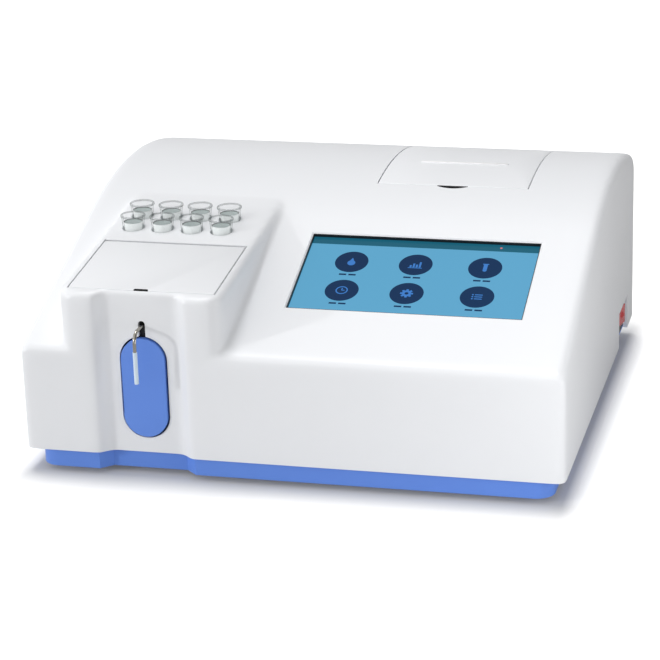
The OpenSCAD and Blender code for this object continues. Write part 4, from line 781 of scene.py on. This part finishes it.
def makeTearBar(p):
    slot = p["slotA"] * shell["crownR"] * math.pi / 180
    front = slot - p["slotH"] / 2
    bar = addBox("tearBar", (p["x"] - p["slotW"] / 2, front - p["barW"], p["barLow"]),
                 (p["x"] + p["slotW"] / 2, front, p["barH"]))
    finishWith(bar, "BEVEL", width=p["barSoft"], segments=2, limit_method="ANGLE")
    return wrapOnCrown(bar)


cover = makeCover(coverPlate)
dress(cover, "whiteShell", "printer_cover", "printer_cover")
# black painted shade on the cover's edge in the finger scoop
paintFaces(cover, "blackTubAndPaintedShade", inPaintedShade)
tearBar = makeTearBar(coverPlate)
# the tear bar takes a brighter white than the shell, a painted highlight on its lit lip
dress(tearBar, "lipPaintedHighlight", None, "printer_cover")
print("printer cover made")


# sample cups turned from one outline, with liquid standing in them
cupForm = {"r": 0.007, "topR": 0.008, "lipR": 0.0083, "lip": 0.0012, "lipIn": 0.0002, "soft": 0.0004,
           "flare": 0.009, "h": 0.035, "wall": 0.001, "footR": 0.0018, "innerR": 0.0015, "slack": 0.00004,
           "meniscus": ((0, 0.0004), (0.0003, 0.0001), (0.0007, 0)), "count": 8, "smooth": 50,
           "floor": 0.0016, "fill": 0.0298, "sides": 56}


def turnOutline(name, outline, sides):
    # outline of radius and height, spun round the Z axis
    bpy.ops.object.select_all(action="DESELECT")
    bpy.ops.mesh.primitive_plane_add()
    made = bpy.context.object
    made.name = name
    focus(made)
    bpy.ops.object.mode_set(mode="EDIT")
    bpy.ops.mesh.select_all(action="SELECT")
    bpy.ops.mesh.delete(type="VERT")
    bpy.ops.object.mode_set(mode="OBJECT")
    made.data.vertices.add(len(outline))
    made.data.edges.add(len(outline) - 1)
    for i, (r, z) in enumerate(outline):
        made.data.vertices[i].co = (r, 0, z)
        if i:
            made.data.edges[i - 1].vertices = (i - 1, i)
    bpy.ops.object.mode_set(mode="EDIT")
    bpy.ops.mesh.select_all(action="SELECT")
    bpy.ops.mesh.spin(steps=sides, angle=2 * math.pi, center=(0, 0, 0), axis=(0, 0, 1))
    bpy.ops.mesh.select_all(action="SELECT")
    bpy.ops.mesh.remove_doubles(threshold=1e-6)
    bpy.ops.mesh.normals_make_consistent(inside=False)
    bpy.ops.object.mode_set(mode="OBJECT")
    return made


def roundedRun(middle, r, start, end, steps):
    turns = [math.radians(start + (end - start) * i / steps) for i in range(steps + 1)]
    return [(middle[0] + r * math.cos(turn), middle[1] + r * math.sin(turn)) for turn in turns]


def cupOutline(c):
    bend = c["h"] - c["flare"]
    inner = c["r"] - c["wall"]
    soft, foot, curve = c["soft"], c["footR"], c["innerR"]
    low = [(0, 0)] + roundedRun((c["r"] - foot, foot), foot, -90, 0, 6) + [(c["r"], bend)]
    lip = [(c["topR"] - c["lipIn"], c["h"] - c["lip"]), (c["lipR"], c["h"] - c["lip"])]
    lip += roundedRun((c["lipR"] - soft, c["h"] - soft), soft, 0, 90, 5)
    lip += roundedRun((c["topR"] - c["wall"] + soft, c["h"] - soft), soft, 90, 180, 5)
    bottom = [(inner, bend)] + roundedRun((inner - curve, c["floor"] + curve), curve, 0, -90, 5)
    return low + lip + bottom + [(0, c["floor"])]


def liquidOutline(c):
    bend = c["h"] - c["flare"]
    r = c["r"] - c["wall"] - c["slack"]
    curve, floor = c["innerR"], c["floor"] + c["slack"]
    brim = r + (c["topR"] - c["r"]) * (c["fill"] - bend) / c["flare"]
    low = [(0, floor)] + roundedRun((r - curve, floor + curve), curve, -90, 0, 5)
    rise = [(r, bend)] + [(brim - inward, c["fill"] + up) for inward, up in c["meniscus"]]
    return low + rise + [(0, c["fill"])]


def copyTo(source, name, place):
    made = source.copy()
    made.data = source.data.copy()
    made.name = name
    bpy.context.collection.objects.link(made)
    made.location = place
    return settle(made)


def setCups(c):
    cupMaster = turnOutline("cupMaster", cupOutline(c), c["sides"])
    fillMaster = turnOutline("fillMaster", liquidOutline(c), c["sides"])
    for i in range(1, c["count"] + 1):
        node = "cup_%d" % i
        low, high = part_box(node)
        place = ((low[0] + high[0]) / 2, (low[1] + high[1]) / 2, low[2])
        cup = copyTo(cupMaster, "sampleCup%d" % i, place)
        dress(cup, "clearCup", node, node, c["smooth"])
        lipZ = place[2] + c["h"] - c["lip"]
        paintFaces(cup, "cupRim",
                   lambda p: p.z > lipZ and math.hypot(p.x - place[0], p.y - place[1]) > c["topR"])
        fill = copyTo(fillMaster, "sampleFill%d" % i, place)
        dress(fill, "clearSample", None, node, c["smooth"])
        level = place[2] + c["fill"]
        paintFaces(fill, "sampleTop", lambda p: abs(p.z - level) < hairline)
        # the rising meniscus takes a near-black finish, painted shade for the dark ring at the liquid's edge
        paintFaces(fill, "meniscusPaintedShade", lambda p: p.z > level + hairline)
    bpy.data.objects.remove(cupMaster)
    bpy.data.objects.remove(fillMaster)


setCups(cupForm)
print("cups set")


# aspirate key: a capsule with rounded rim, its flange, pivot lugs and switch boss
keyForm = {"w": 0.029, "h": 0.066, "z": 0.060, "front": 0.0055, "back": 0.010, "soft": 0.0012, "softFrom": 60,
           "flange": 0.0064, "flangeT": 0.0015, "flangeCut": 0.0065, "pivotD": 0.015, "pivotZ": 0.082,
           "lugX": 0.010, "lugHalf": 0.002, "lugR": 0.0032, "lugIn": 0.0005,
           "bossR": 0.004, "bossL": 0.0105, "bossD": 0.01475, "bossZ": 0.045, "boreR": 0.0015, "boreL": 0.06}


def makeKey(k):
    place = (shell["blockX"], shell["front"], k["z"])
    plate = pillShape("aspirateKey", k["w"], k["h"], k["front"], k["back"], place)
    finishWith(plate, "BEVEL", width=k["soft"], segments=4, limit_method="ANGLE",
               angle_limit=math.radians(k["softFrom"]))
    y = shell["front"]
    flange = pillShape("keyFlange", k["w"] + k["flange"], k["h"] + k["flange"], k["back"],
                       k["back"] + k["flangeT"], place)
    combine(plate, trim(flange, (0, 0, k["pivotZ"] - k["flangeCut"]), (0, 0, 1)), "UNION")
    for side in (-1, 1):
        x = shell["blockX"] + side * k["lugX"]
        lug = addBox("keyLug", (x - k["lugHalf"], y + k["back"] - k["lugIn"], k["pivotZ"] - k["lugR"]),
                     (x + k["lugHalf"], y + k["pivotD"] + k["lugR"], k["pivotZ"] + k["lugR"]))
        combine(plate, lug, "UNION")
    boss = addRod("keyBoss", k["bossR"], k["bossL"], (shell["blockX"], y + k["bossD"], k["bossZ"]), "Y", 40)
    combine(plate, boss, "UNION")
    pivot = (shell["blockX"], y + k["pivotD"], k["pivotZ"])
    combine(plate, addRod("keyBore", k["boreR"], k["boreL"], pivot, "X", 32))
    return plate


key = makeKey(keyForm)
dress(key, "blueTray", "aspirate_key", "aspirate_key")
print("key made")


# touch screen: glass, lit field, status bar and six plain pictograms
screen = {"x": 0.064, "s": 0.0943, "w": 0.152, "h": 0.080, "n": -0.003, "margin": 0.0005,
          "glassOver": 0.007, "glassT": 0.0012, "glassSoft": 0.0003, "sealTop": -0.0007, "sealWall": 0.0004,
          "sealGap": 0.00003, "sealDeep": 0.01, "sealSoft": 0.00008, "lift": 0.00002, "layer": 0.00008,
          "tileT": 0.00006, "barH": 0.0072, "lampU": 0.33, "lampR": 0.0008, "discR": 0.0110,
          "us": (0.205, 0.485, 0.785), "vs": (0.325, 0.705), "labelW": 0.0115, "labelH": 0.0015,
          "labelDrop": 0.0026, "labelAt": (-0.27, 0.27), "labelPart": 0.42}


def screenSpot(u, v):
    return screen["x"] - screen["w"] / 2 + u * screen["w"], screen["s"] + screen["h"] / 2 - v * screen["h"]


def tile(name, x, s, w, h, n):
    return addBox(name, (x - w / 2, s - h / 2, n), (x + w / 2, s + h / 2, n + screen["tileT"]))


def disc(name, x, s, r, n, thick=screen["tileT"], sides=48):
    return addRod(name, r, thick, (x, s, n + thick / 2), "Z", sides)


signForm = {
    "drop": {"r": 0.0026, "down": 0.0012, "tipUp": 0.0013, "tipScale": (0.86, 1.15, 1)},
    "chart": {"heights": (0.0022, 0.0040, 0.0030, 0.0056), "pitch": 0.0020, "low": 0.0028, "w": 0.0013,
              "footDown": 0.0034, "footW": 0.0092, "footH": 0.0006},
    "tube": {"up": 0.0006, "w": 0.0026, "h": 0.0062, "footDown": 0.0025, "footR": 0.0013,
             "rimUp": 0.0040, "rimW": 0.0040, "rimH": 0.0008},
    "clock": {"r": 0.0040, "hole": 0.0032, "handUp": 0.0011, "handH": 0.0024, "thick": 0.0007,
              "hourX": 0.0009, "hourW": 0.0020},
    "cog": {"teeth": 8, "toothX": 0.0034, "tooth": 0.0016, "r": 0.0031, "hole": 0.0013},
    "list": {"rows": 3, "pitch": 0.0021, "rowX": 0.0008, "rowW": 0.0050, "rowH": 0.0008,
             "dotX": 0.0030, "dotR": 0.0006},
    "holeDown": 0.001, "holeT": 0.003,
}


def ringSign(name, x, s, r, hole, n):
    cutter = disc(name + "Hole", x, s, hole, n - signForm["holeDown"], signForm["holeT"])
    return combine(disc(name, x, s, r, n), cutter)


def dropSign(x, s, n):
    f = signForm["drop"]
    drop = disc("dropSign", x, s - f["down"], f["r"], n)
    tip = disc("dropTip", 0, 0, f["r"], n, sides=3)
    tip.scale = f["tipScale"]
    tip.location = (x, s + f["tipUp"], 0)
    return [drop, settle(tip)]


def chartSign(x, s, n):
    f = signForm["chart"]
    middle = (len(f["heights"]) - 1) / 2
    bars = [tile("chartBar", x + (i - middle) * f["pitch"], s - f["low"] + h / 2, f["w"], h, n)
            for i, h in enumerate(f["heights"])]
    return bars + [tile("chartFoot", x, s - f["footDown"], f["footW"], f["footH"], n)]


def tubeSign(x, s, n):
    f = signForm["tube"]
    return [tile("tubeWall", x, s + f["up"], f["w"], f["h"], n),
            disc("tubeFoot", x, s - f["footDown"], f["footR"], n),
            tile("tubeRim", x, s + f["rimUp"], f["rimW"], f["rimH"], n)]


def clockSign(x, s, n):
    f = signForm["clock"]
    return [ringSign("clockFace", x, s, f["r"], f["hole"], n),
            tile("clockHand", x, s + f["handUp"], f["thick"], f["handH"], n),
            tile("clockHour", x + f["hourX"], s, f["hourW"], f["thick"], n)]


def cogSign(x, s, n):
    f = signForm["cog"]
    teeth = []
    for i in range(f["teeth"]):
        tooth = tile("cogTooth", f["toothX"], 0, f["tooth"], f["tooth"], n)
        tooth.rotation_euler = (0, 0, i * 2 * math.pi / f["teeth"])
        tooth.location = (x, s, 0)
        teeth.append(settle(tooth))
    return teeth + [ringSign("cogBody", x, s, f["r"], f["hole"], n)]


def listSign(x, s, n):
    f = signForm["list"]
    rows = []
    for i in range(f["rows"]):
        up = s + (1 - i) * f["pitch"]
        rows.append(tile("listRow", x + f["rowX"], up, f["rowW"], f["rowH"], n))
        rows.append(disc("listDot", x - f["dotX"], up, f["dotR"], n, sides=16))
    return rows


def makeScreen(p):
    half = [p["w"] / 2 + p["glassOver"], p["h"] / 2 + p["glassOver"]]
    slab = addBox("touchGlass", (p["x"] - half[0], p["s"] - half[1], p["n"] - p["glassT"]),
                  (p["x"] + half[0], p["s"] + half[1], p["n"]))
    finishWith(slab, "BEVEL", width=p["glassSoft"], segments=2, limit_method="ANGLE")
    dress(onSlope(slab), "screenGlass", "display_glass", "chassis")
    half = [p["w"] / 2 - p["sealGap"], p["h"] / 2 - p["sealGap"]]
    seal = addBox("screenGasket", (p["x"] - half[0], p["s"] - half[1], p["n"]),
                  (p["x"] + half[0], p["s"] + half[1], p["sealTop"]))
    inner = [v - p["sealWall"] for v in half]
    combine(seal, addBox("sealHole", (p["x"] - inner[0], p["s"] - inner[1], -p["sealDeep"]),
                         (p["x"] + inner[0], p["s"] + inner[1], p["sealDeep"])))
    finishWith(seal, "BEVEL", width=p["sealSoft"], segments=2, limit_method="ANGLE")
    dress(onSlope(seal), "blackGasket", None, "chassis")
    n = p["n"] + p["lift"]
    upper, uppermost = n + p["layer"], n + 2 * p["layer"]
    field = tile("screenField", p["x"], p["s"], p["w"] - 2 * p["margin"], p["h"] - 2 * p["margin"], n)
    dress(onSlope(field), "litField", None, "chassis")
    top = p["s"] + p["h"] / 2 - p["margin"] - p["barH"] / 2
    bar = tile("statusBar", p["x"], top, p["w"] - 2 * p["margin"], p["barH"], upper)
    dress(onSlope(bar), "litBar", None, "chassis")
    lamp = disc("statusLamp", p["x"] + p["w"] * p["lampU"], top, p["lampR"], uppermost, sides=20)
    dress(onSlope(lamp), "litLamp", None, "chassis")
    discs, marks, labels = [], [], []
    signs = (dropSign, chartSign, tubeSign, clockSign, cogSign, listSign)
    for i, sign in enumerate(signs):
        x, s = screenSpot(p["us"][i % 3], p["vs"][i // 3])
        discs.append(disc("signDisc", x, s, p["discR"], upper, sides=72))
        marks += sign(x, s, uppermost)
        for part in p["labelAt"]:
            labels.append(tile("signLabel", x + part * p["labelW"], s - p["discR"] - p["labelDrop"],
                               p["labelW"] * p["labelPart"], p["labelH"], upper))
    groups = ((discs, "signDiscs", "litNavy"), (marks, "signMarks", "litBlue"),
              (labels, "signLabels", "litNavy"))
    for group, name, finish in groups:
        joined = joinAll(group)
        joined.name = name
        dress(onSlope(joined), finish, None, "chassis")


makeScreen(screen)
print("screen made")


# power rocker: two tilted faces with soft edges, moulded on and off marks, and a darker red on the front half
# as painted shade
rockerForm = {"x": 0.166, "y": 0.107, "z": 0.031, "half": 0.013, "halfH": 0.007, "out": 0.0062,
              "rise": 0.0008, "in": 0.003, "endIn": 0.0015, "endFrom": 1e-3,
              "turn": -8, "soft": 0.0006, "softFrom": 40,
              "markT": 0.0008, "strokeY": (-0.0082, -0.0074), "strokeHalf": 0.0022,
              "ringY": 0.0078, "ringR": 0.0021, "ringHole": 0.0014, "ringDeep": 0.003,
              "pinR": 0.0015, "pinL": 0.0185, "paintedShadeFrom": 0.0004}


def makeRocker(p):
    body = addBox("powerRocker", (-p["in"], -p["half"], -p["halfH"]),
                  (p["out"] + p["rise"], p["half"], p["halfH"]))
    # one cut along the middle, where the two faces meet
    sliceAlong(body, 0, 0.0001, 1)
    for v in body.data.vertices:
        if v.co.x > 0 and abs(v.co.y) < hairline:
            v.co.x = p["out"]
        if v.co.x < 0 and abs(v.co.y) > p["endFrom"]:
            v.co.x = p["endIn"]
    finishWith(body, "BEVEL", width=p["soft"], segments=3, limit_method="ANGLE",
               angle_limit=math.radians(p["softFrom"]))
    dish = p["out"] + p["rise"] / 2
    stroke = addBox("onMark", (dish - p["markT"] / 2, p["strokeY"][0], -p["strokeHalf"]),
                    (dish + p["markT"] / 2, p["strokeY"][1], p["strokeHalf"]))
    place = (dish, p["ringY"], 0)
    ring = combine(addRod("offMark", p["ringR"], p["markT"], place, "X", 32),
                   addRod("offHole", p["ringHole"], p["ringDeep"], place, "X", 32))
    combine(body, stroke, "UNION")
    combine(body, ring, "UNION")
    pivot = (p["x"], p["y"], p["z"])
    body.matrix_world = Matrix.Translation(pivot) @ Matrix.Rotation(math.radians(p["turn"]), 4, "Z")
    settle(body)
    combine(body, addRod("rockerPin", p["pinR"], p["pinL"], pivot, "Z", 32), "UNION")
    return body


rocker = makeRocker(rockerForm)
dress(rocker, "redRocker", "power_rocker", "power_rocker")
# the front half of the rocker takes a darker red, painted shade where the pressed-in half lies in shadow
paintFaces(rocker, "paintedShadeRed", lambda p: p.y < rockerForm["y"] - rockerForm["paintedShadeFrom"])
print("rocker made")
